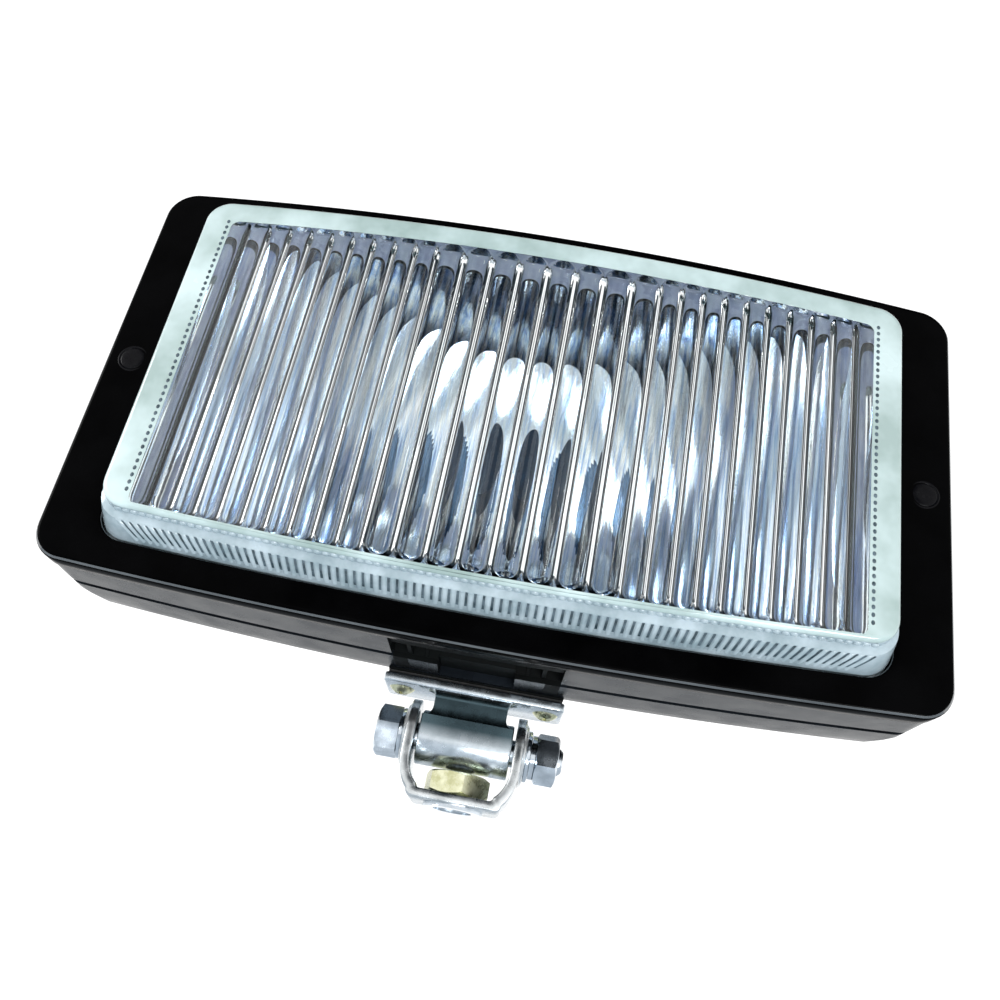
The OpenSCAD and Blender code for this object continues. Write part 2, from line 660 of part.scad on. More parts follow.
module bulb_shield() {
    color([0.16, 0.18, 0.24]) lamp() {
        difference() {
            translate([0, shield_y, 0]) bar_y(shield_r, shield_l);
            translate([0, shield_y + shield_t, 0]) bar_y(shield_r - shield_t, shield_l);
        }
        // two legs back to the bulb seat
        for (side = [-1, 1]) translate([-1.6, shield_y + shield_l - shield_leg,
                                        side * (shield_r - shield_t / 2) - shield_t / 2])
            cube([3.2, seat_front - gap - shield_y - shield_l + shield_leg, shield_t]);
    }
}

base_t = 1;         // thickness of the bulb's flange
cup_l = 6.5;        // length of the metal cup in front of the flange
hub_r = 6;          // hub behind the flange, on which the clip presses
tail_l = 2;         // length of the contact behind the hub
tail_y = hinge_y - leg_r - gap + tail_l;

module bulb_base() {
    color("silver") lamp() difference() {
        union() {
            translate([0, base_y - cup_l, 0]) bar_y(5, cup_l + cut);
            translate([0, base_y, 0]) bar_y(base_r, base_t);
            translate([0, base_y, 0]) bar_y(hub_r, tail_y - tail_l - base_y);
            translate([0, base_y, 0]) bar_y(3.2, tail_y - base_y);
        }
        translate([0, base_y - cup_l - cut, 0]) bar_y(glass_r + press, glass_grip);
        // notch that keeps the bulb from turning
        translate([-2, base_y - 1, base_r - 1.6]) cube([4, 3, 4]);
    }
}

glass_r = 4.1;      // radius of the bulb's glass
glass_t2 = 0.7;     // thickness of the bulb's glass
glass_grip = 2.6;   // how deep the glass sits in the metal cup
glass_l = 27;       // length of the bulb's glass in front of the cup
glass_y = base_y - cup_l - glass_l + glass_r;    // depth of the middle of its round tip
pinch_y = base_y - cup_l - 2;       // front of the glass's solid end

module bulb_glass() {
    color([0.9, 0.95, 1, 0.4]) lamp() translate([0, glass_y, 0]) difference() {
        union() {
            bar_y(glass_r, glass_l - glass_r + glass_grip - gap);
            sphere(r = glass_r, $fn = fine);
        }
        bar_y(glass_r - glass_t2, pinch_y - glass_y);
        sphere(r = glass_r - glass_t2, $fn = fine);
    }
}

coil_r = 0.7;       // radius of the filament's coil
coil_l = 4.6;       // length of the filament's coil
wire_r = 0.3;       // radius of its support wires
wire_x = 2.2;       // distance of the longer support wire from the middle

module bulb_filament() {
    color("dimgray") lamp() {
        translate([0, filament_y - coil_l / 2, 0]) bar_y(coil_r, coil_l);
        translate([0, filament_y, 0]) bar_y(wire_r, pinch_y - cut - filament_y);
        translate([0, filament_y - coil_l / 2 + wire_r, 0]) bar_x(wire_r, wire_x);
        translate([wire_x, filament_y - coil_l / 2 + wire_r, 0])
            bar_y(wire_r * 0.9, pinch_y - cut - filament_y + coil_l / 2 - wire_r);
    }
}

lug_x = leg_x + leg_r + 0.3;        // inner face of each of the bracket's lugs
catch_z = hinge_z - clip_l - clip_r - 0.4;       // top of the catch's shelf

module clip_bracket() {
    color("silver") lamp() difference() {
        union() {
            translate([-lug_x - bracket_t, seat_back, hinge_z - 2.4])
                cube([2 * (lug_x + bracket_t), bracket_t, rivet_z + 4.2 - hinge_z]);
            both_sides() translate([lug_x, seat_back, hinge_z - 1.4])
                cube([bracket_t, hinge_y + 1.4 - seat_back, 2.8]);
            translate([-lug_x, seat_back, -rivet_z - 1.8]) cube([2 * lug_x, bracket_t, 6.4]);
            translate([-leg_x, seat_back, catch_z - bracket_t]) cube([2 * leg_x, 3, bracket_t]);
        }
        translate([-10, hinge_y, hinge_z]) bar_x(clip_r + press, 20);
        at_rivets() translate([0, seat_back - 1, 0]) bar_y(rivet_r + press, 4);
    }
}

module clip_rivets() {
    color("silver") lamp() at_rivets() {
        translate([0, seat_flange_y - 0.4, 0]) bar_y(rivet_r, seat_back + bracket_t + 0.6 - seat_flange_y);
        translate([0, seat_back + bracket_t, 0]) bar_y(rivet_head_r, rivet_head_t);
    }
}

// Sprung wire clip that holds the bulb: a bail hinged above the bulb, with its catch bar below it
module bulb_clip() {
    color("silver") lamp() translate([0, hinge_y, hinge_z]) {
        translate([-lug_x - bracket_t - 0.6, 0, 0]) bar_x(clip_r, 2 * (lug_x + bracket_t + 0.6));
        both_sides() translate([leg_x, 0, -clip_l]) bar_z(leg_r, clip_l);
        translate([-leg_x - leg_r, 0, -clip_l]) bar_x(clip_r, 2 * (leg_x + leg_r));
    }
}

// Tube of radius r along a list of points
module tube(route, r) {
    sides = 8;
    m = len(route);
    heading = [for (i = [0:m - 1]) let (v = route[min(i + 1, m - 1)] - route[max(i - 1, 0)]) v / norm(v)];
    // the wires never run along y, so y serves as the rings' first direction
    points = [for (i = [0:m - 1]) let (t = heading[i], u0 = [0, 1, 0] - t[1] * t, u = u0 / norm(u0),
              w = cross(t, u)) for (k = [0:sides - 1])
              route[i] + r * (cos(360 * k / sides) * u + sin(360 * k / sides) * w)];
    quads = [for (i = [0:m - 2]) for (k = [0:sides - 1]) let (a = i * sides + k,
             b = i * sides + (k + 1) % sides) [a, b, b + sides, a + sides]];
    polyhedron(points, concat([[for (k = [sides - 1:-1:0]) k]], quads,
               [[for (k = [0:sides - 1]) (m - 1) * sides + k]]), convexity = 4);
}

// Smooth route from a to b that bulges by the given vector in its middle
function curve(a, b, bulge, n = 12) =
    [for (i = [0:n]) let (t = i / n) a + (b - a) * t + bulge * 4 * t * (1 - t)];

blade_x = 5;        // distance of each blade from the block's middle
blade_w = 6.3;      // width of the blades
blade_t = 0.8;      // thickness of the blades
blade_front = block_y - 5;          // where the blades start inside the housing
blade_l = 14.5;     // length of the blades
lead_r = 1.1;       // radius of the leads
sleeve_w = 8;       // width of the insulating sleeves
sleeve_h = 4;       // height of the insulating sleeves
sleeve_y = blade_front - 1.2;       // front of the sleeves
lead_y = blade_front + 1.7;         // where the leads enter the sleeves

module bulb_lead() {
    end = [block_x - blade_x - sleeve_w / 2 - gap, lead_y, 0];
    arc = curve([0, tail_y + lead_r, 0], end - [2.5, 0, 0], [-1, 2.4, 5]);
    color("black") lamp() tube(concat(arc, [end]), lead_r);
}

module lead_sleeves() {
    color("firebrick") lamp() translate([block_x, 0, 0]) both_sides() difference() {
        translate([blade_x - sleeve_w / 2, sleeve_y, -sleeve_h / 2])
            cube([sleeve_w, block_y - gap - sleeve_y, sleeve_h]);
        translate([blade_x - blade_w / 2 - gap, blade_front - gap, -blade_t / 2 - gap])
            cube([blade_w + 2 * gap, 10, blade_t + 2 * gap]);
    }
}

tag_x = 7;          // left edge of the earth tag
tag_z = -16;        // lower edge of the earth tag

module earth_lead() {
    color("saddlebrown") lamp() tube(curve([tag_x + 4, seat_back + 2.2, tag_z + 2],
                                           [block_x + blade_x, lead_y, -sleeve_h / 2 - lead_r], [0, 2, 0]),
                                     lead_r);
}

module earth_tag() {
    color("silver") lamp() {
        translate([tag_x, seat_back, tag_z]) cube([3, 0.8, 7]);
        translate([tag_x, seat_back, tag_z]) cube([0.8, 3.6, 4]);
    }
}

module terminal_block() {
    color([0.2, 0.2, 0.2]) lamp() translate([block_x, 0, 0]) difference() {
        union() {
            translate([-block_w / 2, block_y, -block_h / 2]) cube([block_w, rim_y + 3 - block_y, block_h]);
            translate([-flange_w / 2, rim_y + seal_t, -flange_h / 2]) cube([flange_w, block_flange_t, flange_h]);
        }
        // shroud round the blades
        translate([-block_w / 2 + shroud_t, block_y + 4, -block_h / 2 + shroud_t])
            cube([block_w - 2 * shroud_t, 12, block_h - 2 * shroud_t]);
        both_sides() translate([blade_x - blade_w / 2 - press, block_y - 1, -blade_t / 2 - press])
            cube([blade_w + 2 * press, 10, blade_t + 2 * press]);
        both_sides() translate([block_screw_x, block_y, 0]) bar_y(block_screw_r + gap, 20);
    }
}

module terminal_blades() {
    color("gold") lamp() translate([block_x, 0, 0]) both_sides()
        translate([blade_x - blade_w / 2, blade_front, -blade_t / 2]) cube([blade_w, blade_l, blade_t]);
}

block_screw_x = 16; // distance of the block's screws from its middle
block_screw_r = 1.2;                // radius of those screws
block_head_r = 2.2; // radius of their heads
block_head_t = 1.2; // thickness of their heads
block_flange_t = 1.6;               // thickness of the block's outer flange
shroud_t = 1.6;     // wall of the shroud round the blades
seal_t = 0.6;       // thickness of the inlet's seal

module block_screws() {
    color("silver") lamp() translate([block_x, 0, 0]) both_sides()
        translate([block_screw_x, rim_y + seal_t + block_flange_t + press, 0]) {
            difference() {
                bar_y(block_head_r, block_head_t);
                translate([-1.6, 0.6, -0.3]) cube([3.2, 1, 0.6]);
            }
            translate([0, -7, 0]) bar_y(block_screw_r - press, 7 + cut);
        }
}

module inlet_seal() {
    color("black") lamp() translate([block_x, 0, 0]) difference() {
        translate([-flange_w / 2, rim_y, -flange_h / 2]) cube([flange_w, seal_t - press, flange_h]);
        translate([-block_w / 2 - gap, rim_y - 1, -block_h / 2 - gap])
            cube([block_w + 2 * gap, 4, block_h + 2 * gap]);
        both_sides() translate([block_screw_x, rim_y - 1, 0]) bar_y(block_screw_r + gap, 4);
    }
}

foot_washer();
foot_nut();
clevis();
pivot_bolt();
pivot_washers();
pivot_spring_washer();
pivot_nut();
mount_plate();
plate_pad();
plate_screws();
plate_nuts();
housing();
bezel();
bezel_screws();
screw_caps();
lens();
lens_gasket();
reflector();
bulb_seat();
bulb_shield();
bulb_base();
bulb_glass();
bulb_filament();
clip_bracket();
clip_rivets();
bulb_clip();
bulb_lead();
lead_sleeves();
earth_lead();
earth_tag();
terminal_block();
terminal_blades();
block_screws();
inlet_seal();
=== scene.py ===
import json
import math

import bmesh
import bpy
from mathutils import Matrix, Vector


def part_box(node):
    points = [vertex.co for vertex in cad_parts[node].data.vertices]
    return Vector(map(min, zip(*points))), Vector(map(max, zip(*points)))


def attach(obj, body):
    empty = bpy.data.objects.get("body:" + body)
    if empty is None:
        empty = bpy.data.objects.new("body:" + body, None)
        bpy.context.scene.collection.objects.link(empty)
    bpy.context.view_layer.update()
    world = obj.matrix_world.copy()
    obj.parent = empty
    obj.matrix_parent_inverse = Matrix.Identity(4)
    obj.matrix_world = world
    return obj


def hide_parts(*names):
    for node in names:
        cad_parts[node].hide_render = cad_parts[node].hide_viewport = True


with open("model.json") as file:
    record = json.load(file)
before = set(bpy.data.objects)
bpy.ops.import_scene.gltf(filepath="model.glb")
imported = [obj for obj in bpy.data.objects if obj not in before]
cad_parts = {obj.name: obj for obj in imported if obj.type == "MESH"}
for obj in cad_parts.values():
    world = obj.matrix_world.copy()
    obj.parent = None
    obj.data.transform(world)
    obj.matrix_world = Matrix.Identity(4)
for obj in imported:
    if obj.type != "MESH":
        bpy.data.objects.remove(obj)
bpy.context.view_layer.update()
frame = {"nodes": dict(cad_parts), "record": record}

# ---------------------------------------------------------------- frame
MM = 0.001
face_lo, face_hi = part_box("bezel")
FACE_Y = face_lo.y / MM                              # depth of the middle of the bezel's face
LAMP_Z = (face_lo.z + face_hi.z) / 2 / MM            # height of the lamp's centre line
HW = (face_hi.x - face_lo.x) / 2 / MM                # bezel's half width
HH = (face_hi.z - face_lo.z) / 2 / MM                # bezel's half height
wash_lo, wash_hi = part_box("pivot_washers")
PIVOT_Z = (wash_lo.z + wash_hi.z) / 2 / MM           # height of the tilt pivot
BOW, SAG, CORNER = 3.4, 2.4, 7.2                     # bezel's bowed long edges, swept-back ends, corner radius


def lamp(x, y, z):
    """A point of the lamp: x to the side, y the depth behind the face, z from the centre line, in mm."""
    return Vector((x * MM, (y + FACE_Y) * MM, (z + LAMP_Z) * MM))


def pivot(x, y, z):
    """A point given from the tilt pivot, in mm."""
    return Vector((x * MM, y * MM, (z + PIVOT_Z) * MM))


# ---------------------------------------------------------------- camera
CAMERA_TURN = (-3.21, 23.87, 11.31)                  # azimuth, elevation and roll, in degrees
CAMERA_AT = (8.92, -175.91, -97.24)                  # where it stands, as a point of the lamp
SENSOR_MM, FOCAL_MM = 36, 33.56


def make_camera():
    az, el, roll = (math.radians(a) for a in CAMERA_TURN)
    forward = Vector((math.sin(az) * math.cos(el), math.cos(az) * math.cos(el), math.sin(el)))
    right = Vector((math.cos(az), -math.sin(az), 0))
    up = right.cross(forward)
    side = right * math.cos(roll) + up * math.sin(roll)
    top = up * math.cos(roll) - right * math.sin(roll)
    data = bpy.data.cameras.new("camera")
    data.sensor_width = SENSOR_MM
    data.lens = FOCAL_MM
    data.clip_start = 0.005
    data.clip_end = 20
    cam = bpy.data.objects.new("camera", data)
    m = Matrix((side, top, -forward)).transposed().to_4x4()
    m.translation = lamp(*CAMERA_AT)
    cam.matrix_world = m
    bpy.context.scene.collection.objects.link(cam)
    bpy.context.scene.camera = cam


make_camera()


# ---------------------------------------------------------------- materials
MATS = {}
MIX_A, MIX_B = 6, 7                                  # the two colour sockets of a Mix node


def new_material(name):
    m = bpy.data.materials.new(name)
    MATS[name] = m
    m.use_nodes = True
    nt = m.node_tree
    bsdf = nt.nodes["Principled BSDF"]
    coord = nt.nodes.new("ShaderNodeTexCoord")
    return m, nt, bsdf, coord


def mapping(nt, coord, scale):
    node = nt.nodes.new("ShaderNodeMapping")
    node.inputs["Scale"].default_value = scale
    nt.links.new(coord.outputs["Object"], node.inputs["Vector"])
    return node


def noise(nt, vec, scale, detail=4, rough=0.55):
    node = nt.nodes.new("ShaderNodeTexNoise")
    node.inputs["Scale"].default_value = scale
    node.inputs["Detail"].default_value = detail
    node.inputs["Roughness"].default_value = rough
    nt.links.new(vec.outputs[0], node.inputs["Vector"])
    return node


def ramp(nt, src, stops):
    node = nt.nodes.new("ShaderNodeValToRGB")
    cr = node.color_ramp
    while len(cr.elements) < len(stops):
        cr.elements.new(0.5)
    for e, (pos, col) in zip(cr.elements, stops):
        e.position = pos
        e.color = (*col, 1)
    nt.links.new(src, node.inputs["Fac"])
    return node


def scalar(nt, src, lo, hi, a, b):
    node = nt.nodes.new("ShaderNodeMapRange")
    node.inputs["From Min"].default_value = lo
    node.inputs["From Max"].default_value = hi
    node.inputs["To Min"].default_value = a
    node.inputs["To Max"].default_value = b
    nt.links.new(src, node.inputs["Value"])
    return node


def bump(nt, bsdf, src, strength, distance):
    node = nt.nodes.new("ShaderNodeBump")
    node.inputs["Strength"].default_value = strength
    node.inputs["Distance"].default_value = distance
    nt.links.new(src, node.inputs["Height"])
    nt.links.new(node.outputs["Normal"], bsdf.inputs["Normal"])


def surface(name, dark, light, metallic=0.0, rough=(0.3, 0.4), scale=300, stretch=(1, 1, 1),
            grain=1500, bump_mm=0.01, bump_strength=0.3, coat=0.0, ior=1.5, spec=0.5, tint=(1, 1, 1)):
    """Base colour that wanders from dark to light, roughness that wanders, and a fine grain."""
    m, nt, bsdf, coord = new_material(name)
    vec = mapping(nt, coord, stretch)
    n1 = noise(nt, vec, scale)
    n2 = noise(nt, vec, grain, 3)
    cr = ramp(nt, n1.outputs["Fac"], [(0.35, dark), (0.65, light)])
    nt.links.new(cr.outputs["Color"], bsdf.inputs["Base Color"])
    r = scalar(nt, n1.outputs["Fac"], 0.3, 0.7, rough[0], rough[1])
    nt.links.new(r.outputs["Result"], bsdf.inputs["Roughness"])
    bsdf.inputs["Metallic"].default_value = metallic
    bsdf.inputs["IOR"].default_value = ior
    bsdf.inputs["Specular IOR Level"].default_value = spec
    bsdf.inputs["Specular Tint"].default_value = (*tint, 1)
    bsdf.inputs["Coat Weight"].default_value = coat
    bsdf.inputs["Coat Roughness"].default_value = 0.04
    bump(nt, bsdf, n2.outputs["Fac"], bump_strength, bump_mm * MM)


# each surface: name, dark and light colour, metallic, range of roughness, scale of the mottling
surface("zinc_steel", (0.48, 0.53, 0.58), (0.70, 0.76, 0.82), 1.0, (0.08, 0.20), 260, bump_mm=0.006)
surface("hex_steel", (0.50, 0.55, 0.60), (0.78, 0.84, 0.90), 1.0, (0.16, 0.30), 260, bump_mm=0.006)
surface("yellow_zinc", (0.52, 0.52, 0.30), (0.82, 0.82, 0.60), 1.0, (0.20, 0.38), 420, bump_mm=0.02)
surface("clevis_steel", (0.52, 0.55, 0.56), (0.84, 0.87, 0.88), 1.0, (0.18, 0.36), 240, bump_mm=0.015)
surface("plate_steel", (0.50, 0.56, 0.60), (0.66, 0.72, 0.77), 1.0, (0.20, 0.32), 300, bump_mm=0.012)
surface("rubber", (0.012, 0.012, 0.012), (0.03, 0.03, 0.03), 0.0, (0.5, 0.7), 500, bump_mm=0.02,
        bump_strength=0.5)
# the plastic's blue specular tint paints its reflections blue: a painted reflection colour
surface("housing_plastic", (0.0035, 0.0045, 0.006), (0.008, 0.010, 0.013), 0.0, (0.20, 0.32), 120,
        grain=2600, bump_mm=0.012, bump_strength=0.35, spec=0.2, ior=1.33, tint=(0.6, 0.8, 1.0))
# painted shade: a darker, duller copy of the housing's plastic, for the pocket and the pad
surface("plastic_painted_shade", (0.001, 0.0015, 0.0015), (0.003, 0.004, 0.004), 0.0, (0.5, 0.7), 120, grain=2600,
        bump_mm=0.012, spec=0.06)
surface("bezel_plastic", (0.0006, 0.0006, 0.0007), (0.0015, 0.0015, 0.0017), 0.0, (0.10, 0.18), 90,
        grain=900, bump_mm=0.004, bump_strength=0.15, spec=0.04, ior=1.25)
# painted highlight: a lighter, glossier copy of the bezel's plastic, for the bright lines along its edges
surface("bezel_painted_highlight", (0.035, 0.042, 0.046), (0.06, 0.07, 0.075), 0.0, (0.14, 0.24), 90, grain=900,
        bump_mm=0.004, bump_strength=0.15, spec=1.0, coat=1.0)
surface("cap_plastic", (0.002, 0.002, 0.003), (0.005, 0.005, 0.006), 0.0, (0.2, 0.3), 600, bump_mm=0.006,
        spec=0.08)
surface("shield_paint", (0.006, 0.02, 0.045), (0.015, 0.04, 0.08), 0.0, (0.4, 0.55), 300, bump_mm=0.01)
# painted reflection: a darker blue patch in the mirror's middle, for the shield's dark back seen in it
surface("mirror_painted_reflection", (0.05, 0.09, 0.16), (0.16, 0.25, 0.37), 1.0, (0.06, 0.14), 400,
        stretch=(1, 1, 0.2), bump_mm=0.004)
surface("bulb_metal", (0.45, 0.45, 0.45), (0.72, 0.72, 0.72), 1.0, (0.2, 0.4), 300)
surface("filament", (0.10, 0.10, 0.11), (0.22, 0.22, 0.23), 1.0, (0.4, 0.5), 900)
surface("spring_wire", (0.45, 0.46, 0.48), (0.75, 0.76, 0.78), 1.0, (0.2, 0.35), 500)
surface("lead_black", (0.012, 0.012, 0.012), (0.03, 0.03, 0.03), 0.0, (0.45, 0.6), 500)
surface("sleeve_plastic", (0.30, 0.02, 0.015), (0.42, 0.04, 0.03), 0.0, (0.3, 0.45), 400)
surface("lead_brown", (0.09, 0.035, 0.015), (0.15, 0.06, 0.03), 0.0, (0.45, 0.6), 500)
surface("brass", (0.55, 0.42, 0.18), (0.78, 0.64, 0.34), 1.0, (0.2, 0.38), 350)
surface("block_plastic", (0.022, 0.022, 0.024), (0.04, 0.04, 0.043), 0.0, (0.35, 0.5), 300, grain=2600,
        bump_mm=0.015)


def paint_dark_reflection(name, low, full, end, off, colour):
    """Paints a dark reflection into a metal's colour by height over the tilt pivot, in mm: from low, fully from
    full to end, none past off.
    """
    nt = MATS[name].node_tree
    bsdf = nt.nodes["Principled BSDF"]
    coord = next(n for n in nt.nodes if n.bl_idname == "ShaderNodeTexCoord")
    sep = nt.nodes.new("ShaderNodeSeparateXYZ")
    nt.links.new(coord.outputs["Object"], sep.inputs[0])
    rise, fall = (scalar(nt, sep.outputs["Z"], (a + PIVOT_Z) * MM, (b + PIVOT_Z) * MM, 0, 1)
                  for a, b in ((low, full), (off, end)))
    both = nt.nodes.new("ShaderNodeMath")
    both.operation = "MULTIPLY"
    nt.links.new(rise.outputs["Result"], both.inputs[0])
    nt.links.new(fall.outputs["Result"], both.inputs[1])
    mix = nt.nodes.new("ShaderNodeMix")
    mix.data_type = "RGBA"
    base = bsdf.inputs["Base Color"].links[0].from_socket
    nt.links.new(both.outputs[0], mix.inputs[0])
    nt.links.new(base, mix.inputs[MIX_A])
    mix.inputs[MIX_B].default_value = (*colour, 1)
    nt.links.new(mix.outputs[2], bsdf.inputs["Base Color"])


# painted dark reflection on the plate's tongue and the upper side of its barrel
paint_dark_reflection("plate_steel", -0.8, 2.4, 9.2, 9.8, (0.08, 0.125, 0.145))
# painted dark reflection on the upper halves of the pivot bolt's head and nut
paint_dark_reflection("hex_steel", -0.6, 1.6, 6.9, 7.4, (0.15, 0.17, 0.19))


def glass(name, tint):
    """Clear glass with a faint waviness."""
    m, nt, bsdf, coord = new_material(name)
    vec = mapping(nt, coord, (1, 1, 0.35))
    n1 = noise(nt, vec, 260, 2)
    cr = ramp(nt, n1.outputs["Fac"], [(0.3, tint), (0.7, (1, 1, 1))])
    nt.links.new(cr.outputs["Color"], bsdf.inputs["Base Color"])
    bsdf.inputs["Roughness"].default_value = 0.0
    bsdf.inputs["IOR"].default_value = 1.51
    bsdf.inputs["Transmission Weight"].default_value = 1.0
    bump(nt, bsdf, n1.outputs["Fac"], 0.12, 0.04 * MM)


glass("lens_glass", (0.90, 0.97, 0.975))
surface("lens_frost", (0.34, 0.45, 0.43), (0.62, 0.76, 0.76), 0.0, (0.10, 0.28), 55, grain=700,
        bump_mm=0.02, bump_strength=0.3, coat=0.6)
surface("lens_rib", (0.28, 0.37, 0.41), (0.48, 0.58, 0.63), 0.0, (0.10, 0.28), 160, grain=700,
        bump_mm=0.02, bump_strength=0.3, coat=0.6)
surface("lens_inner", (0.55, 0.62, 0.85), (0.80, 0.86, 1.0), 0.0, (0.2, 0.4), 160, grain=700, bump_mm=0.02)
# dark colour for the beads, and painted shade on the strips that stand in for the wall's grooves
surface("lens_bead_and_groove_shade", (0.03, 0.05, 0.06), (0.12, 0.17, 0.20), 0.0, (0.1, 0.2), 500)
glass("bulb_glass", (0.95, 0.98, 1.0))


def mirror():
    """Polished metal whose colour wanders from blue to white in upright streaks, a painted reflection, with
    fine upright draw lines.
    """
    m, nt, bsdf, coord = new_material("mirror")
    vec = mapping(nt, coord, (1, 1, 0.12))
    n1 = noise(nt, vec, 150, 5, 0.6)
    cr = ramp(nt, n1.outputs["Fac"], [(0.30, (0.26, 0.38, 0.64)), (0.42, (0.62, 0.76, 0.95)),
                                      (0.52, (0.98, 1.0, 1.0))])
    nt.links.new(cr.outputs["Color"], bsdf.inputs["Base Color"])
    bsdf.inputs["Metallic"].default_value = 1.0
    r = scalar(nt, n1.outputs["Fac"], 0.3, 0.7, 0.16, 0.05)
    nt.links.new(r.outputs["Result"], bsdf.inputs["Roughness"])
    vec2 = mapping(nt, coord, (1, 1, 0.1))
    n2 = noise(nt, vec2, 230, 3)
    bump(nt, bsdf, n2.outputs["Fac"], 0.35, 0.3 * MM)


mirror()

for entry in frame["record"]["subparts"]:
    obj = frame["nodes"][entry["node"]]
    obj.data.materials.clear()
    obj.data.materials.append(MATS[entry["material_slot"]])


# ---------------------------------------------------------------- mesh helpers
def make(name, verts, faces, slot_name, body, replaces=(), sharp=35, mat=None, paint=None):
    """One visible piece. paint is (material, test): it goes on faces whose middle passes, in lamp mm."""
    me = bpy.data.meshes.new(name)
    me.from_pydata([tuple(v) for v in verts], [], faces)
    bm = bmesh.new()
    bm.from_mesh(me)
    bmesh.ops.remove_doubles(bm, verts=bm.verts, dist=1e-7)
    bmesh.ops.dissolve_degenerate(bm, dist=1e-8, edges=bm.edges)
    bmesh.ops.recalc_face_normals(bm, faces=bm.faces)
    limit = math.radians(sharp)
    for f in bm.faces:
        f.smooth = True
    for e in bm.edges:
        if len(e.link_faces) == 2 and e.calc_face_angle(0) > limit:
            e.smooth = False
    bm.to_mesh(me)
    bm.free()
    me.materials.append(MATS[mat or slot_name])
    if paint:
        me.materials.append(MATS[paint[0]])
        for poly in me.polygons:
            c = poly.center / MM
            if paint[1](c.x, c.y - FACE_Y, c.z - LAMP_Z):
                poly.material_index = 1
    obj = bpy.data.objects.new(name, me)
    bpy.context.scene.collection.objects.link(obj)
    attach(obj, body)
    if replaces:
        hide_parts(*replaces)


FIXED_X, SPREAD_X = 31, 60                           # given stations: fixed up to here, then spread over this


def ring(hw, hh, bow, r, steps=10, spans=32, xs=None):
    """Outline of a rounded rectangle with bowed long edges, in the order right, top, left, bottom."""
    inner = hw - r
    zc = hh - bow * (inner / hw) ** 2 - r
    arc = [math.radians(90 * i / steps) for i in range(steps + 1)]
    if xs is None:
        xs = [inner * (1 - 2 * i / spans) for i in range(1, spans)]
    else:
        xs = [x if abs(x) < FIXED_X else
              math.copysign(FIXED_X + (abs(x) - FIXED_X) * (inner - FIXED_X) / SPREAD_X, x) for x in xs]
    pts = [(inner + r * math.cos(a), zc + r * math.sin(a)) for a in arc]
    pts += [(x, hh - bow * (x / hw) ** 2) for x in xs]
    pts += [(-inner - r * math.sin(a), zc + r * math.cos(a)) for a in arc]
    pts += [(-inner - r * math.cos(a), -zc - r * math.sin(a)) for a in arc]
    pts += [(-x, -hh + bow * (x / hw) ** 2) for x in xs]
    pts += [(inner + r * math.sin(a), -zc - r * math.cos(a)) for a in arc]
    return pts


def sag(x):
    """How far the face has swept back at x."""
    return SAG * (x / HW) ** 2


def loft(loops, close=False, cap_first=False, cap_last=False):
    """Quads between loops of the same length. Returns vertices and faces."""
    n = len(loops[0])
    verts = [v for loop in loops for v in loop]
    faces = []
    m = len(loops)
    for k in range(m if close else m - 1):
        a, b = k * n, ((k + 1) % m) * n
        for i in range(n):
            j = (i + 1) % n
            faces.append((a + i, a + j, b + j, b + i))
    if cap_first:
        faces.append(tuple(range(n)))
    if cap_last:
        faces.append(tuple((m - 1) * n + i for i in range(n)))
    return verts, faces


def join(*parts):
    """Several (vertices, faces) as one."""
    verts, faces = [], []
    for v, f in parts:
        base = len(verts)
        verts += list(v)
        faces += [tuple(i + base for i in face) for face in f]
    return verts, faces


def lathe(profile, place, n=48, cap_first=True, cap_last=True):
    """Turns [(radius, height)] round an axis; place(x, y, h) puts a point in the row frame."""
    loops = [[place(r * math.cos(2 * math.pi * i / n), r * math.sin(2 * math.pi * i / n), h)
              for i in range(n)] for r, h in profile]
    return loft(loops, cap_first=cap_first, cap_last=cap_last)


def soft_box(lo, hi, r, place, steps=3):
    """A box with rounded edges, by lofting rounded rectangles along its depth."""
    (x0, y0, z0), (x1, y1, z1) = lo, hi

    def rect(inset, y):
        pts = []
        cx, cz = (x0 + x1) / 2, (z0 + z1) / 2
        hx, hz = (x1 - x0) / 2 - inset, (z1 - z0) / 2 - inset
        rr = max(r - inset, 0.02)
        for qx, qz, start in ((1, 1, 0), (-1, 1, 90), (-1, -1, 180), (1, -1, 270)):
            for i in range(steps + 1):
                a = math.radians(start + 90 * i / steps)
                pts.append(place(cx + qx * (hx - rr) + rr * math.cos(a), y,
                                 cz + qz * (hz - rr) + rr * math.sin(a)))
        return pts

    loops = []
    for i in range(steps + 1):
        a = math.radians(90 * i / steps)
        loops.append(rect(r * (1 - math.sin(a)), y0 + r * (1 - math.cos(a))))
    for i in range(steps + 1):
        a = math.radians(90 - 90 * i / steps)
        loops.append(rect(r * (1 - math.sin(a)), y1 - r * (1 - math.cos(a))))
    return loft(loops, cap_first=True, cap_last=True)


# ---------------------------------------------------------------- bezel
def station(hw, hh, bow, r, d):
    """A ring at depth d behind the swept face."""
    return [lamp(x, d + sag(x), z) for x, z in ring(hw, hh, bow, r)]


lens_lo, lens_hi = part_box("lens")
LENS_W, LENS_H, LENS_BOW, LENS_R = 161.0, 88.2, 2.8, 6.0
LENS_PROUD = (FACE_Y * MM - lens_lo.y) / MM          # how far the lens stands out of the bezel
SKIN = 0.02                                          # faces stay this far inside the CAD's own


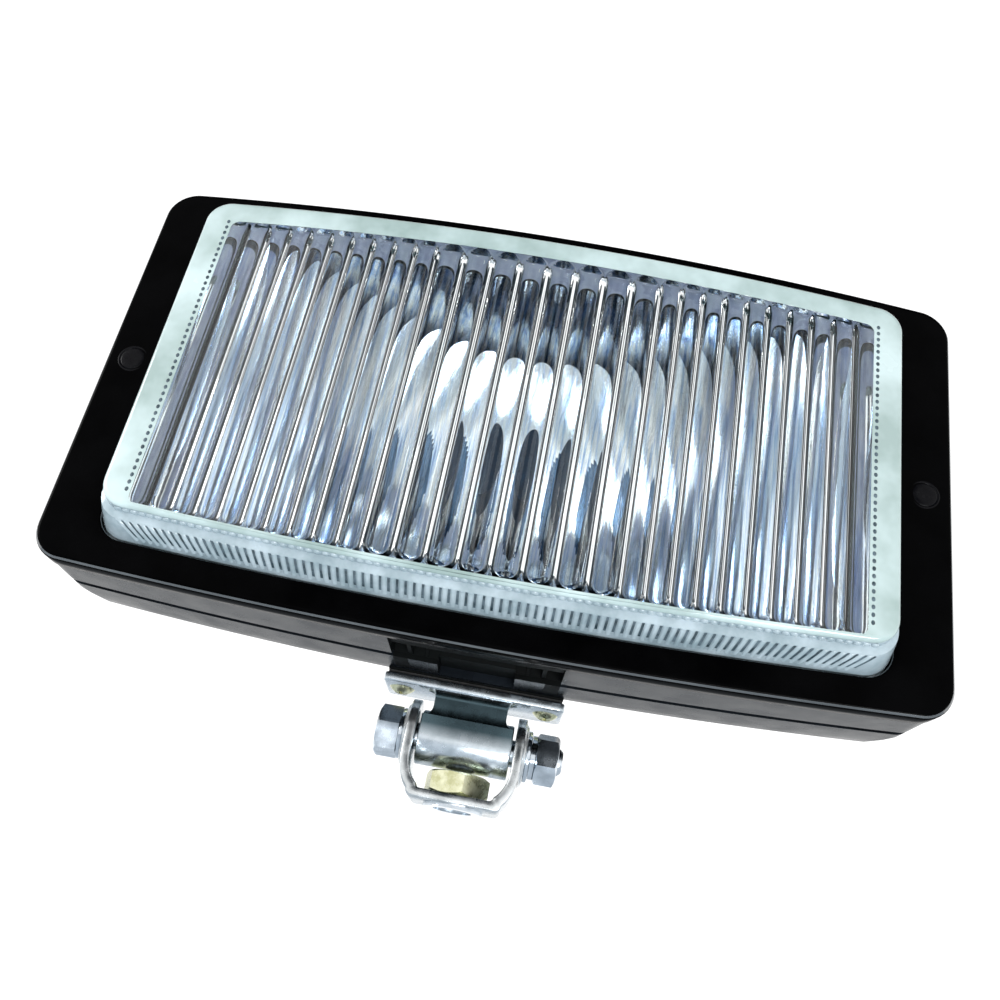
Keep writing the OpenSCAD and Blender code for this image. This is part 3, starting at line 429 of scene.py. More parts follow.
def build_bezel():
    """A closed ring: round the outer edge, over the flat face, into the lens's opening and back inside."""
    back, edge, lip, wall = 4.9, 1.3, 0.4, 1.9
    loops = [station(HW - 0.25, HH - 0.25, BOW, CORNER, back), station(HW, HH, BOW, CORNER, back - 0.3),
             station(HW, HH, BOW, CORNER, 3.3)]
    for k in range(1, 9):
        a = math.radians(90 * k / 8)
        inset = edge * (1 - math.cos(a))
        loops.append(station(HW - inset, HH - inset, BOW, CORNER - inset * 0.8,
                             edge * (1 - math.sin(a)) + SKIN))
    ow, oh = LENS_W / 2 + 0.35, LENS_H / 2 + 0.35
    for t in (0.25, 0.5, 0.75):
        w, h = (HW - edge) * (1 - t) + (ow + lip) * t, (HH - edge) * (1 - t) + (oh + lip) * t
        r = (CORNER - 1.2) * (1 - t) + (LENS_R + lip) * t
        loops.append(station(w, h, BOW * (1 - t) + LENS_BOW * t, r, SKIN))
    for k in range(5):
        a = math.radians(90 * k / 4)
        inset = lip * math.sin(a)
        loops.append(station(ow + lip - inset, oh + lip - inset, LENS_BOW, LENS_R + lip - inset,
                             SKIN + lip * (1 - math.cos(a))))
    loops.append(station(ow, oh, LENS_BOW, LENS_R, 2.5))
    loops.append(station(HW - wall, HH - wall, BOW, CORNER - 1.6, 2.6))
    loops.append(station(HW - wall, HH - wall, BOW, CORNER - 1.6, back))
    # painted highlight on the front edge's rounding and on the skirt's rear end
    make("bezel_frame", *loft(loops, close=True), "bezel_plastic", "lamp", ["bezel"], sharp=50,
         paint=("bezel_painted_highlight", lambda x, y, z: 0.2 < y - sag(x) < 0.6 or y - sag(x) > 4.55))


def build_plugs():
    """The two plugs over the bezel's screws, each with a ring groove."""
    x0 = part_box("screw_caps")[1].x / MM - 2.7
    base = sag(x0)
    profile = [(3.25, 0.3), (3.25, -0.01), (3.05, -0.10), (2.85, -0.03), (2.72, 0.06), (2.62, -0.06),
               (2.4, -0.12), (1.6, -0.13), (0.5, -0.12), (0.05, -0.12)]
    parts = [lathe(profile, lambda a, b, h, s=s: lamp(s * x0 + a, base + h, b), 40) for s in (-1, 1)]
    make("screw_plugs", *join(*parts), "cap_plastic", "lamp", ["screw_caps"], sharp=60)


# ---------------------------------------------------------------- housing
POCKET_HW, POCKET_Y, POCKET_STEP, POCKET_END = 18.2, 6.0, 12.6, 20.2     # pocket under the housing
NOTCH_HW, NOTCH_Y, NOTCH_END = 8.4, 19.0, 30.0                           # narrow notch behind it
GROOVE_Y, GROOVE_END, GROOVE_D = 19.0, 21.35, 1.1                        # groove round the housing
REAR_Y, REAR_DEPTH = 36, 77.0                                            # where the domed rear starts and ends


def pocket_rise(x, y):
    """How far the housing's underside is raised at (x, y) by the pocket and its ribs."""
    ax = abs(x)
    rise = 0.0
    if ax < POCKET_HW:
        if POCKET_Y < y < POCKET_STEP:
            rise = 0.8
        elif POCKET_STEP <= y < POCKET_END:
            rise = 4.0
            if 13.9 < ax < 14.9:
                rise = 0.9
            if 10.6 < ax < 11.4:
                rise = 2.6
    if ax < NOTCH_HW and NOTCH_Y <= y < NOTCH_END:
        rise = max(rise, 1.9)
    return rise


def build_housing():
    bhw, bhh = HW - 0.5, HH - 0.6
    xs = [88.0, 84.0, 79.0, 73.0, 66.0, 58.0, 50.0, 42.0, 35.0, 28.0, 22.5, 20.0]
    for x in (POCKET_HW, 14.9, 13.9, 11.4, 10.6, NOTCH_HW):
        xs += [x + 0.06, x - 0.06]
    xs += [5.6, 2.8]
    xs = sorted(set(xs + [0.0] + [-x for x in xs]), reverse=True)

    def loop_at(y, hw, hh, bow, r, groove=0.0):
        """A ring of the housing at depth y, with the pocket pressed into its underside."""
        out = []
        for x, z in ring(hw - groove, hh - groove, bow, r, 10, xs=xs):
            if z < 0 and abs(x) < 19:
                z += max(pocket_rise(x, y) - groove, 0)
            out.append(lamp(x, y + (sag(x) if y < POCKET_Y else 0), z))
        return out

    loops = []
    # straight flanks, closest together at the steps of the pocket and the groove
    for y in (5.0, 5.6, 5.95, 6.05, 9.0, 12.5, 12.65, 15.6, 18.6, 18.95, 19.0, 19.06, 19.3, 20.15, 20.95, 21.2,
              21.3, 21.35, 22.4, 25, 28.5, 29.9, 30.1):
        t = max(0, min(1, y / 26.6))
        groove = 0.0
        if 19.02 < y < 21.32:
            groove = min(GROOVE_D, (y - GROOVE_Y) * 8, (GROOVE_END - y) * 8)
        past = max(0, (y - 26.6) / 7.2)
        loops.append(loop_at(y, bhw - 0.6 * t - 2.8 * past, bhh - 0.1 * past, BOW, 6 - 3 * t + 0.2 * past,
                             groove))
    # shoulder
    for y, dw, dh, r in ((33.2, 3.2, 0.1, 3.2), (33.6, 3.45, 0.18, 3.3), (33.9, 3.7, 0.32, 3.5),
                         (REAR_Y, 5.6, 1.0, 7)):
        loops.append(loop_at(y, bhw - dw, bhh - dh, BOW, r))
    # domed rear
    for k in range(1, 19):
        a = math.radians(5 * k)
        fall = 0.4 * math.sin(a) + 0.6 * (1 - math.cos(a))
        loops.append(loop_at(REAR_Y + (REAR_DEPTH - REAR_Y) * math.sin(a), (bhw - 5.6) * (1 - fall) + 46 * fall,
                             (bhh - 1.0) * (1 - fall) + 24 * fall, BOW * (1 - 0.5 * fall),
                             7 * (1 - fall) + 14 * fall))
    outer = loft(loops, cap_last=True)
    # a lip inside the front edge, so that the joint with the bezel reads as a thin shell
    lip = loft([loop_at(5.0, bhw, bhh, BOW, 5), loop_at(5.0, bhw - 1.7, bhh - 1.7, BOW, 3.4),
                loop_at(9.0, bhw - 1.7, bhh - 1.7, BOW, 3.4)])
    # the pocket's faces under the housing get the painted shade
    make("housing_shell", *join(outer, lip), "housing_plastic", "lamp", ["housing"], sharp=32,
         paint=("plastic_painted_shade", lambda x, y, z: abs(x) < 18.25 and 5.9 < y < 30 and -50.3 < z < -40))
    # pad over the mounting plate, in the painted shade
    pz = -HH + 0.2
    make("housing_pad", *soft_box((-20, 32, pz), (20, 46, pz + 6.8), 0.5, lamp), "housing_plastic", "lamp",
         mat="plastic_painted_shade")
    # rim of the rear inlet, as four soft bars round the opening
    bx, y0, y1 = 22.0, 74.5, 79.0
    ox, oz, ix, iz = 20.0, 9.7, 13.1, 6.8
    bars = [((bx - ox, y0, iz), (bx + ox, y1, oz)), ((bx - ox, y0, -oz), (bx + ox, y1, -iz)),
            ((bx - ox, y0, -oz + 0.4), (bx - ix, y1, oz - 0.4)),
            ((bx + ix, y0, -oz + 0.4), (bx + ox, y1, oz - 0.4))]
    make("inlet_rim", *join(*[soft_box(a, b, 0.5, lamp) for a, b in bars]), "housing_plastic", "lamp")
    # stiffening ribs on the rear
    ribs = [soft_box((x - 0.7, 70, -17), (x + 0.7, 78.2, 17), 0.5, lamp) for x in (-38, -28, -18, -8)]
    make("rear_ribs", *join(*ribs), "housing_plastic", "lamp")


# ---------------------------------------------------------------- lens
FLUTE_MID, FLUTE_SIDE, N_MID, N_SIDE = 6.3, 4.82, 8, 10  # widths and numbers: in the middle, and at each side
MID_HW = N_MID * FLUTE_MID / 2
FLUTE_HW = MID_HW + N_SIDE * FLUTE_SIDE
FLUTE_HH, FLUTE_RISE = 38.8, 0.55                    # flutes' half length, and depth over half width
FRONT_RISE = 1.1                                     # how far the lens's front lies above the centre line
FIELD_DROP = 0.5                                     # how far the middle of the fluted field lies below it
FIELD_W, FIELD_H = FLUTE_HW + 0.35, FLUTE_HH + 0.35  # border of the fluted field, inside
OPEN_W, OPEN_H, OPEN_DROP = 72.5, 38.3, 1.2          # clear opening in front, where the frosted rim starts
FRONT_DEPTH = 5.5                                    # over this depth the front's rise fades to nothing


def flute_edges():
    """Where the flutes begin and end, from left to right."""
    edges = [-FLUTE_HW + i * FLUTE_SIDE for i in range(N_SIDE)]
    edges += [-MID_HW + i * FLUTE_MID for i in range(N_MID)]
    edges += [MID_HW + i * FLUTE_SIDE for i in range(N_SIDE + 1)]
    return edges


def edge_drop(x):
    """How far the lens's bowed edges have come in at x."""
    return LENS_BOW * (x / (LENS_W / 2)) ** 2


def build_lens():
    hw, hh = LENS_W / 2, LENS_H / 2
    fw, fh = hw - 1.5, hh - 3.0
    front = -LENS_PROUD + SKIN

    def st(w, h, r, d):
        """A ring at depth d; towards the front the lens's middle rises."""
        up = FRONT_RISE * min(1, max(0, -d / FRONT_DEPTH))
        return [lamp(x, d + sag(x) * (1 if d < 0 else max(0, 1 - d / 8)), z + up)
                for x, z in ring(w, h, LENS_BOW, r, 10, 64)]

    def opening(t, d):
        """Outline of the clear opening at depth d, scaled by t."""
        return [lamp(x, d + sag(x), z - OPEN_DROP)
                for x, z in ring(OPEN_W * t, OPEN_H * t, LENS_BOW, 2 * t, 10, 64)]

    def field_border(d):
        """Outline of the fluted field at depth d."""
        return [lamp(x, d + sag(x), z - FIELD_DROP) for x, z in ring(FIELD_W, FIELD_H, LENS_BOW, 2, 10, 64)]

    # frosted rim: from the flange's back, over the wall, round the front edge, to the clear field
    rim = [st(hw + 2.3, hh + 2.3, 8.3, 7.2), st(hw + 2.3, hh + 2.3, 8.3, 3.4)]
    rim += [st(hw, hh, LENS_R, 3.2), st(hw, hh, LENS_R, 0.2)]
    rim += [st(hw - 0.5, hh - 0.9, 5.8, front + 4.6), st(hw - 0.75, hh - 1.35, 5.7, front + 3.3)]
    rim += [st(fw + 0.15, fh + 0.15, 5.6, front + 2.9), st(fw + 0.2, fh + 0.25, 5.6, front + 2.5)]
    edge = 1.1
    for k in range(0, 7):
        a = math.radians(90 * k / 6)
        inset = edge * (1 - math.cos(a))
        rim.append(st(fw - inset, fh - inset, 5.5 - inset * 0.6, front + edge * (1 - math.sin(a))))
    rim += [opening(1, front), opening(1, front + 0.25)]
    make("lens_rim", *loft(rim), "lens_glass", "lamp", sharp=40, mat="lens_frost",
         paint=("lens_rib", lambda x, y, z: y - sag(x) > front + 1.2))

    # clear field: flat in front, fluted inside
    inner_y = front + 3.0
    panel = [opening(t, front + SKIN) for t in (0.1, 0.35, 0.65, 0.9, 1)]
    panel += [field_border(front + 0.6), field_border(inner_y)]
    make("lens_shell", *join(loft(panel, cap_first=True), flute_field(panel[-1], inner_y)), "lens_glass",
         "lamp", ["lens"], sharp=40)
    # inside of the walls, back to the flange
    walls = [field_border(inner_y), st(hw - 3.6, hh - 4.4, 4, 0.5), st(hw - 3.2, hh - 3.2, 4, 7.2)]
    make("lens_wall_inside", *loft(walls), "lens_glass", "lamp", mat="lens_inner")


def flute_field(border, inner_y):
    """The fluted inner face, joined to the border loop round it."""
    edges = flute_edges()
    per = 12
    xs = []
    for a, b in zip(edges[:-1], edges[1:]):
        xs += [(a + b) / 2 - (b - a) / 2 * math.cos(math.pi * i / per) for i in range(per)]
    xs.append(edges[-1])
    gaps = (0, 0.2, 0.5, 0.9, 1.4, 2.0, 2.7, 3.5)
    nr = 2 * len(gaps) + 5

    def rows(z_top):
        upper = [z_top - g for g in gaps] + [z_top * 0.6, z_top * 0.3]
        return upper + [0.0] + [-z for z in reversed(upper)]

    def height(x, k, gap):
        """A rounded bar with a domed end, at the given distance from the flute's end."""
        a, b = edges[k], edges[k + 1]
        w = (b - a) / 2
        rise = FLUTE_RISE * w
        big_r = (w * w + rise * rise) / (2 * rise)
        r = math.hypot(x - (a + b) / 2, max(0.0, w - gap))
        return max(0.0, math.sqrt(max(0.0, big_r * big_r - r * r)) - big_r + rise)

    verts, faces = [], []
    for i, x in enumerate(xs):
        # a column on the border between two flutes belongs to the left one
        k = min(i // per, len(edges) - 2)
        if i % per == 0 and i > 0:
            k = i // per - 1
        z_top = FLUTE_HH - edge_drop(x)
        for z in rows(z_top):
            verts.append(lamp(x, inner_y + sag(x) + height(x, k, z_top - abs(z)), z - FIELD_DROP))
    for i in range(len(xs) - 1):
        for j in range(nr - 1):
            a = i * nr + j
            faces.append((a, a + 1, a + nr + 1, a + nr))
    # ring of faces between the field's edge and the border loop
    top = [i * nr for i in range(len(xs))]
    bottom = [i * nr + nr - 1 for i in range(len(xs))]
    left = list(range(0, nr))
    right = [(len(xs) - 1) * nr + j for j in range(nr)]
    rim = top[::-1] + left[1:] + bottom[1:] + right[::-1][1:-1]
    base = len(verts)
    verts += list(border)

    def angle(v):
        """Direction of a point from the middle of the lens, with the lens's shape evened out."""
        return math.atan2((v.z / MM - LAMP_Z + FIELD_DROP) / 45.0, (v.x / MM) / 80.0)

    # both loops are walked round together, always adding the triangle that comes next
    outer_ids = sorted(range(base, base + len(border)), key=lambda i: angle(verts[i]))
    inner_ids = sorted(rim, key=lambda i: angle(verts[i]))
    i = j = 0
    no, ni = len(outer_ids), len(inner_ids)
    while i < no or j < ni:
        ao = angle(verts[outer_ids[i]]) if i < no else 9
        ai = angle(verts[inner_ids[j]]) if j < ni else 9
        if ao <= ai:
            faces.append((outer_ids[i], outer_ids[(i + 1) % no], inner_ids[j % ni]))
            i += 1
        else:
            faces.append((inner_ids[j], outer_ids[i % no], inner_ids[(j + 1) % ni]))
            j += 1
    return verts, faces


def build_lens_ribs():
    """Fine ribs on the lens's upper and lower wall, scallops beside them, beads beside the outermost flutes."""
    front = -LENS_PROUD
    count, bead_count, bead_pitch = 88, 44, 1.58
    pitch = 2 * (FLUTE_HW + 2) / count
    knee = front + 4.6                       # where the wall changes slope

    def on_wall(x, t, side, proud):
        """A point on the wall: t runs from the front edge's step to the bezel; the ribs fan out at the ends."""
        lean = 3.0 * (abs(x) / 73) ** 3 * t
        xt = x - math.copysign(lean, x)
        y = front + 3.35 + 4.4 * t
        slope = 0.22 if y > knee else 0.346
        z = LENS_H / 2 - 0.9 + slope * (y - knee) - edge_drop(xt) + proud
        return lamp(xt, y + sag(xt), side * z + FRONT_RISE * min(1, -y / FRONT_DEPTH))

    ribs, groove_shades, scallops, beads = [], [], [], []
    # the grooves between the ribs are thin dark strips of painted shade, not cut grooves
    groove = ((-1, -0.1), (-1, 0.05), (1, 0.05), (1, -0.1))
    dome = [(0.78, -0.1), (0.74, 0.12), (0.5, 0.32), (0.04, 0.4)]
    bead = [(0.5, 0.06), (0.48, -0.02), (0.3, -0.08), (0.03, -0.1)]
    for side in (-1, 1):
        for i in range(count):
            x = (i - (count - 1) / 2) * pitch
            w = pitch * 0.33
            bar = [[on_wall(x + w * math.cos(a), t, side, -0.1 + 0.42 * math.sin(a))
                    for a in (0, 0.6, 1.2, 1.9, 2.5, math.pi)] for t in (0.0, 0.284, 1.0)]
            ribs.append(loft(bar, cap_first=True, cap_last=True))
            gap = x + pitch / 2
            strip = [[on_wall(gap + u * pitch * 0.15, t, side, h) for u, h in groove]
                     for t in (0.04, 0.284, 0.84)]
            groove_shades.append(loft(strip, cap_first=True, cap_last=True))
            z = side * (LENS_H / 2 - 2.9 - edge_drop(x)) + FRONT_RISE

            def on_edge(a, b, h, x=x, z=z, side=side):
                return lamp(x + a, front + 1.9 + sag(x) + b, z + side * h)

            scallops.append(lathe(dome, on_edge, 10))
    for s in (-1, 1):
        x = s * (OPEN_W + 0.9)
        for i in range(bead_count):
            z = (i - (bead_count - 1) / 2) * bead_pitch
            beads.append(lathe(bead, lambda a, b, h, x=x, z=z: lamp(x + a * 0.8, front + sag(x) + h, z + b),
                               10))
    make("lens_wall_ribs", *join(*ribs), "lens_glass", "lamp", sharp=60, mat="lens_rib")
    make("lens_wall_groove_shades", *join(*groove_shades), "lens_glass", "lamp", sharp=60, mat="lens_bead_and_groove_shade")
    make("lens_scallops", *join(*scallops), "lens_glass", "lamp", sharp=60, mat="lens_rib")
    make("lens_beads", *join(*beads), "lens_glass", "lamp", sharp=60, mat="lens_bead_and_groove_shade")


# ---------------------------------------------------------------- reflector
def build_reflector():
    vertex, focal = 60.0, 26.0
    mw, mh = LENS_W / 2 - 2.4, LENS_H / 2 - 2.4
    rim = 9.0
    r_rim = math.sqrt(4 * focal * (vertex - rim))
    n = 240

    def limit(a):
        c, s = abs(math.cos(a)), abs(math.sin(a))
        lim = r_rim
        if c > 1e-6:
            lim = min(lim, mw / c)
        if s > 1e-6:
            lim = min(lim, (mh - 2.6 * min(1, (lim * c / mw) ** 2)) / s)
        return lim

    angles = [2 * math.pi * i / n for i in range(n)]
    loops = []
    for t in [0.155 + 0.845 * i / 26 for i in range(27)]:
        loop = []
        for a in angles:
            r = limit(a) * t if t > 0.16 else 11.05
            loop.append(lamp(r * math.cos(a), vertex - r * r / (4 * focal), r * math.sin(a)))
        loops.append(loop)
    edge = []
    for a in angles:
        r = limit(a)
        edge.append((r * math.cos(a), vertex - r * r / (4 * focal), r * math.sin(a)))
    loops.append([lamp(x, max(rim, y - 0.2) if y > rim + 0.2 else y, z) for x, y, z in edge])
    loops.append([lamp(x, rim, z) for x, y, z in edge])
    outline = []
    hw, hh = HW - 2.7, HH - 2.8
    for x, y, z in edge:
        k = min(hw / max(abs(x), 1e-6), (hh - BOW * 0.8) / max(abs(z), 1e-6))
        outline.append(lamp(x * k, rim, z * k))
    loops.append(outline)
    # the painted reflection of the shield goes on a patch in the mirror's middle
    make("reflector_dish", *loft(loops), "mirror", "lamp", ["reflector"], sharp=30,
         paint=("mirror_painted_reflection", lambda x, y, z: (x / 25) ** 2 + ((z - 6) / 16) ** 2 < 1))


# ---------------------------------------------------------------- bracket
def build_clevis():
    lo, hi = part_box("clevis")
    t = 2.0
    ear_in, foot, rnd, low = 11.0, 8.4, 0.9, -4.2
    web = lo.z / MM - PIVOT_Z + t               # top of the web, from the pivot
    top = 7.9

    def half_path(grow):
        """Half of the strap's inner face, from the middle of the web up, grown outwards."""
        f, e, w, r = foot + grow, ear_in + grow, web - grow, rnd + 0.3 * grow
        path = [(2.0 * f / foot, w), (5.0 * f / foot, w), (f - r, w)]
        for i in range(1, 5):
            a = math.radians(90 * i / 4)
            path.append((f - r + r * math.sin(a), w + r * (1 - math.cos(a))))
        za = w + r
        for i in range(1, 17):
            a = math.radians(90 * i / 16)
            path.append((f + (e - f) * math.sin(a), za + (low - za) * (1 - math.cos(a) + i / 16) / 2))
        return path + [(e, z) for z in (1.2, 2.5, 3.8, 5, 6, 6.8, 7.3, 7.6, 7.8, 7.89)]

    def full_path(grow):
        path = half_path(grow)
        return [(-x, z) for x, z in reversed(path)] + path

    loops = []
    for (xi, zi), (xo, zo) in zip(full_path(0), full_path(t)):
        half = min(7.8, math.sqrt(max(0.02, top * top - zi * zi))) if zi > 0 else 7.8
        e = 0.35
        sec = [(half - e, 0), (half - 0.1, 0.1), (half, e), (half, t - e), (half - 0.1, t - 0.1), (half - e, t)]
        sec = sec + [(-u, v) for u, v in reversed(sec)]
        loops.append([pivot(xi + (xo - xi) * v / t, u, zi + (zo - zi) * v / t) for u, v in sec])
    strip = loft(loops, cap_first=True, cap_last=True)
    bosses = []
    for s in (-1, 1):
        profile = [(7.3, -0.05), (7.0, 0.06), (6.7, 0.35), (6.4, 0.66), (6.0, 0.8), (3.1, 0.8)]
        bosses.append(lathe(profile, lambda a, b, h, s=s: pivot(s * (ear_in + t + h), a, b), 48, False, True))
    make("clevis_strap", *join(strip, *bosses), "clevis_steel", "clevis", ["clevis"], sharp=50)


def hex_piece(af, h, place, chamfer_both=False, hole=0.0):
    """A hexagon head or nut, af across its flats and h thick, with chamfered corners."""
    n = 96
    rc = af / 2 * 0.96
    angles = [2 * math.pi * i / n for i in range(n)]
    radii = [(af / 2) / math.cos(math.radians((360 * i / n + 30) % 60 - 30)) for i in range(n)]

    def circle(r, z):
        return [(r * math.cos(a), r * math.sin(a), z) for a in angles]

    def hexagon(z, side):
        """The hexagon's outline, cut back from z at its corners, downwards where side is -1."""
        return [(r * math.cos(a), r * math.sin(a), z + side * max(0.0, (r - rc) * 0.55))
                for r, a in zip(radii, angles)]

    loops = [circle(rc, 0.0), hexagon(0.0, 1)] if chamfer_both else [hexagon(0.0, 0)]
    loops += [hexagon(h, -1), circle(rc, h)]
    if hole:
        loops += [circle(hole + 0.5, h), circle(hole, h - 0.5), circle(hole, 0)]
    else:
        loops.append(circle(rc * 0.8, h - 0.02))
    loops = [[place(*p) for p in loop] for loop in loops]
    return loft(loops, cap_first=not hole, cap_last=not hole)


def turned(deg):
    """A turn of the plane by an angle."""
    c, s = math.cos(math.radians(deg)), math.sin(math.radians(deg))
    return lambda a, b: (a * c - b * s, a * s + b * c)


def build_fasteners():
    lo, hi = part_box("pivot_bolt")
    left, right = lo.x / MM, hi.x / MM
    head_h = 5.0
    t = turned(20)
    head = hex_piece(10, head_h, lambda a, b, h: pivot(left + head_h - h, *t(a, b)))
    # shank with a thread where it shows beyond the nut
    r, root, pitch, threaded = 2.98, 2.55, 1.0, 8.0
    start = left + head_h
    length = right - start
    profile = [(r, 0), (r, length - threaded)]
    x = length - threaded
    while x < length - 1.0:
        profile += [(r, x), (r, x + 0.15), (root, x + 0.5), (root, x + 0.6), (r, x + 0.95)]
        x += pitch
    profile += [(2.9, length - 0.6), (2.4, length)]
    shank = lathe(profile, lambda a, b, h: pivot(start + h, a, b), 40)
    make("pivot_bolt_hex", *join(head, shank), "zinc_steel", "clevis", ["pivot_bolt"], sharp=28,
         mat="hex_steel")
    nlo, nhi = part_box("pivot_nut")
    t2 = turned(-8)
    nut = hex_piece(10, (nhi.x - nlo.x) / MM, lambda a, b, h: pivot(nlo.x / MM + h, *t2(a, b)), True, 3.02)
    make("pivot_nut_hex", *nut, "zinc_steel", "clevis", ["pivot_nut"], sharp=28, mat="hex_steel")
    thick = 0.9
    x0 = wash_hi.x / MM - thick
    profile = [(3.1, 0), (5.45, 0), (5.6, 0.12), (5.6, 0.72), (5.4, thick), (3.1, thick)]
    washers = [lathe(profile, lambda a, b, h, s=s: pivot(s * (x0 + h), a, b), 48, False, False)
               for s in (-1, 1)]
    make("pivot_washers_turned", *join(*washers), "zinc_steel", "clevis", ["pivot_washers"], sharp=50)
    flo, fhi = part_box("foot_nut")
    t3 = turned(12)

    def foot_place(a, b, h):
        x, y = t3(a, b)
        return Vector((x * MM, y * MM, flo.z + h * MM))

    foot_nut = hex_piece(13, (fhi.z - flo.z) / MM, foot_place, True, 3.42)
    make("foot_nut_hex", *foot_nut, "yellow_zinc", "foot", ["foot_nut"], sharp=28)


def build_plate():
    plo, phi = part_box("mount_plate")
    half = 10.35
    z_top = phi.z / MM - PIVOT_Z                    # top of the plate, from the pivot
    t = 2.0
    # flat plate with soft edges and rounded corners
    y0, y1 = -6.0, phi.y / MM
    pw = 20.5
    e = 0.35

    def outline(inset, z):
        pts = []
        cr = 1.6
        for qx, qy, start in ((1, 1, 0), (-1, 1, 90), (-1, -1, 180), (1, -1, 270)):
            for i in range(7):
                a = math.radians(start + 90 * i / 6)
                pts.append(pivot(qx * (pw - cr) + (cr - inset) * math.cos(a),
                                 (y0 + y1) / 2 + qy * ((y1 - y0) / 2 - cr) + (cr - inset) * math.sin(a), z))
        return pts
    flat = loft([outline(e, z_top - t), outline(0.1, z_top - t + 0.1), outline(0, z_top - t + e),
                 outline(0, z_top - e), outline(0.1, z_top - 0.1), outline(e, z_top)],
                cap_first=True, cap_last=True)
    # tongue and barrel: one strip that leaves the plate's front edge, runs down and rolls round the bolt
    bend = 2.6
    path = [(y0 + t / 2 + bend + 2.0, z_top - t / 2)]
    for i in range(9):
        a = math.radians(90 * i / 8)
        path.append((y0 + t / 2 + bend - bend * math.sin(a), z_top - t / 2 - bend + bend * math.cos(a)))
    mid = 4.95
    for z in (z_top - t - 1.6, z_top - t - 2.0, 6.6, 6.1, 5.7, 5.3, 4.9, 4.6, 4.4, 4.25, 4.21, 4.19, 3.6, 2.0):
        path.append((y0 + t / 2 + SKIN, z))
    first_roll = len(path) - 1
    for i in range(0, 57):
        a = math.radians(180 + 320 * i / 56)
        path.append((mid * math.cos(a), mid * math.sin(a)))

    def relief(z):
        """Half width of the strip at height z beside the reliefs."""
        r, tongue, low, high = 1.9, 8.2, 4.2, z_top - t
        if z <= low:
            return half
        if z < low + r:
            return tongue + r - math.sqrt(max(0, r * r - (low + r - z) ** 2))
        if z > high - r:
            return tongue + r - math.sqrt(max(0, r * r - min(r, z - high + r) ** 2))
        return tongue

    loops = []
    m = len(path)
    for i, (y, z) in enumerate(path):
        ya, za = path[max(i - 1, 0)]
        yb, zb = path[min(i + 1, m - 1)]
        dy, dz = yb - ya, zb - za
        ln = math.hypot(dy, dz) or 1
        ny, nz = dz / ln, -dy / ln
        w = half
        if i <= first_roll and y < 0:
            w = relief(z)
        sec = [(w - e, -t / 2), (w - 0.1, -t / 2 + 0.1), (w, -t / 2 + e)]
        sec += [(u, -v) for u, v in reversed(sec)]
        sec += [(-u, v) for u, v in reversed(sec)]
        loops.append([pivot(u, y + ny * v, z + nz * v) for u, v in sec])
    strip = loft(loops, cap_first=True, cap_last=True)
    make("mount_plate_strip", *join(flat, strip), "plate_steel", "lamp", ["mount_plate"], sharp=50)
    # inner part of the barrel's wall, down to the bolt's clearance
    inner = [(3.06, 0.3 - half), (3.9, 0.3 - half), (3.93, 0.5 - half)]
    inner += [(r, -h) for r, h in reversed(inner)]
    make("barrel_bush", *lathe(inner, lambda a, b, h: pivot(h, a, b), 48, False, False), "plate_steel", "lamp",
         sharp=50)


build_bezel()
build_plugs()
build_housing()
build_lens()
build_lens_ribs()
build_reflector()
build_clevis()
build_fasteners()
build_plate()


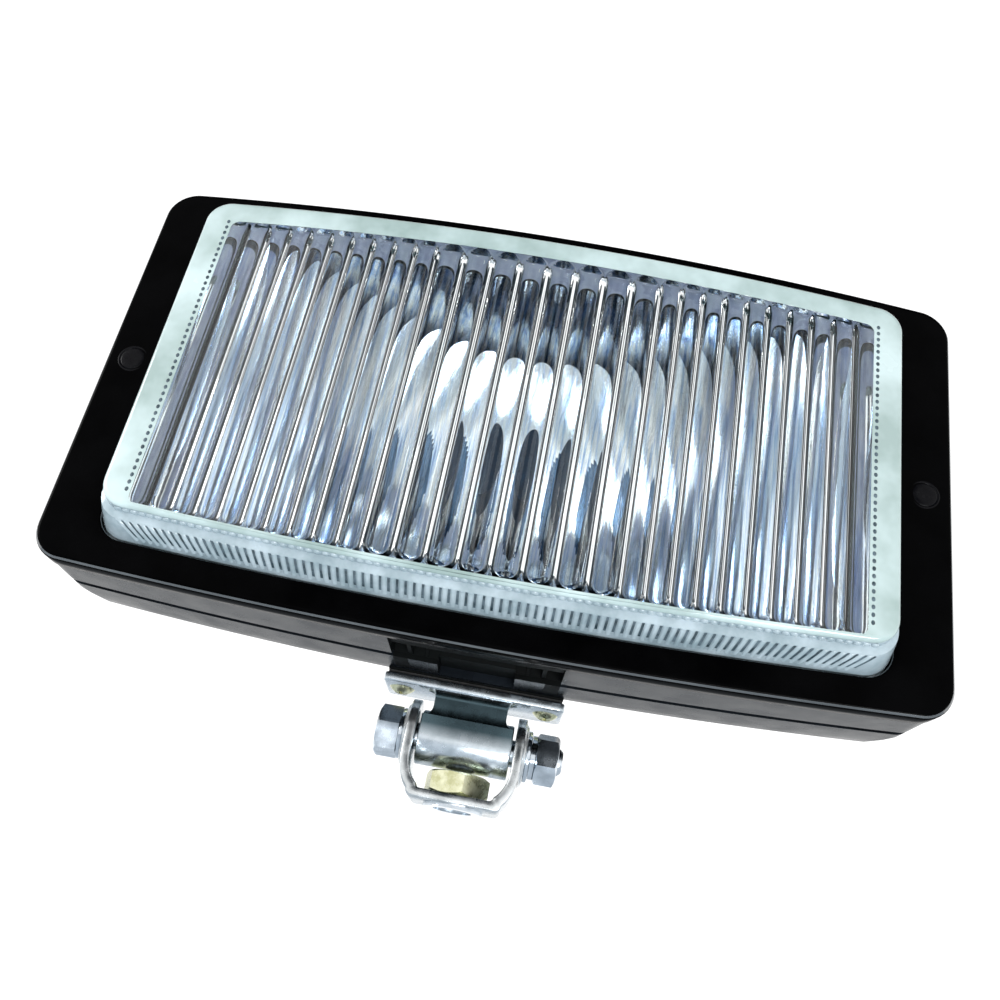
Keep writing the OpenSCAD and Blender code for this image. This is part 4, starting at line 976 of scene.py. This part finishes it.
# ---------------------------------------------------------------- stage
def stage():
    floor_mat, nt, bsdf, coord = new_material("floor_paint")
    vec = mapping(nt, coord, (1, 1, 1))
    n1 = noise(nt, vec, 3)
    cr = ramp(nt, n1.outputs["Fac"], [(0.3, (0.66, 0.73, 0.80)), (0.7, (0.70, 0.77, 0.84))])
    nt.links.new(cr.outputs["Color"], bsdf.inputs["Base Color"])
    bsdf.inputs["Roughness"].default_value = 0.8
    me = bpy.data.meshes.new("floor")
    s, z = 1.6, -0.42
    me.from_pydata([(-s, -s, z), (s, -s, z), (s, s, z), (-s, s, z)], [], [(0, 1, 2, 3)])
    me.materials.append(floor_mat)
    floor = bpy.data.objects.new("floor", me)
    bpy.context.scene.collection.objects.link(floor)

    world = bpy.data.worlds.new("studio")
    bpy.context.scene.world = world
    world.use_nodes = True
    wt = world.node_tree
    bg = wt.nodes["Background"]
    bg.inputs["Strength"].default_value = 1.25
    tc = wt.nodes.new("ShaderNodeTexCoord")
    sep = wt.nodes.new("ShaderNodeSeparateXYZ")
    wt.links.new(tc.outputs["Generated"], sep.inputs[0])

    def step(src, a, b):
        mr = wt.nodes.new("ShaderNodeMapRange")
        mr.interpolation_type = "SMOOTHSTEP"
        mr.inputs["From Min"].default_value = a
        mr.inputs["From Max"].default_value = b
        wt.links.new(src, mr.inputs["Value"])
        return mr.outputs["Result"]

    def math_node(op, a, b=None):
        n = wt.nodes.new("ShaderNodeMath")
        n.operation = op
        wt.links.new(a, n.inputs[0])
        if b is not None:
            wt.links.new(b, n.inputs[1])
        return n.outputs[0]

    ax = math_node("ABSOLUTE", sep.outputs["X"])
    mask = step(sep.outputs["Y"], 0.02, -0.12)
    for part in (step(sep.outputs["Z"], 0.10, 0.17), step(ax, 0.36, 0.24)):
        mask = math_node("MULTIPLY", mask, part)
    above = math_node("MULTIPLY", step(sep.outputs["Z"], 0.60, 0.75), step(sep.outputs["Y"], 0.30, 0.05))
    mask = math_node("MAXIMUM", mask, above)
    # the dark cards are off stage: they only show in reflections
    seen = wt.nodes.new("ShaderNodeLightPath").outputs["Is Camera Ray"]
    mask = math_node("MULTIPLY", mask, step(seen, 1, 0))
    mix = wt.nodes.new("ShaderNodeMix")
    mix.data_type = "RGBA"
    wt.links.new(mask, mix.inputs[0])
    mix.inputs[MIX_A].default_value = (1.0, 1.0, 1.0, 1)
    mix.inputs[MIX_B].default_value = (0.02, 0.028, 0.036, 1)
    wt.links.new(mix.outputs[2], bg.inputs["Color"])

    def area(name, loc, target, size, power, spread=180):
        data = bpy.data.lights.new(name, "AREA")
        data.shape = "RECTANGLE"
        data.size, data.size_y = size
        data.energy = power
        data.spread = math.radians(spread)
        ob = bpy.data.objects.new(name, data)
        ob.location = loc
        ob.rotation_euler = (Vector(target) - Vector(loc)).to_track_quat("-Z", "Y").to_euler()
        bpy.context.scene.collection.objects.link(ob)

    area("key", (-0.9, -0.35, 0.3), (0, 0, 0.06), (0.4, 0.4), 4)
    area("low", (0.25, -0.55, -0.32), (0, 0, 0.05), (0.5, 0.12), 0.4, 60)


stage()
view = bpy.context.scene.view_settings
view.view_transform = "Standard"
view.look = "None"
view.exposure = 0.0
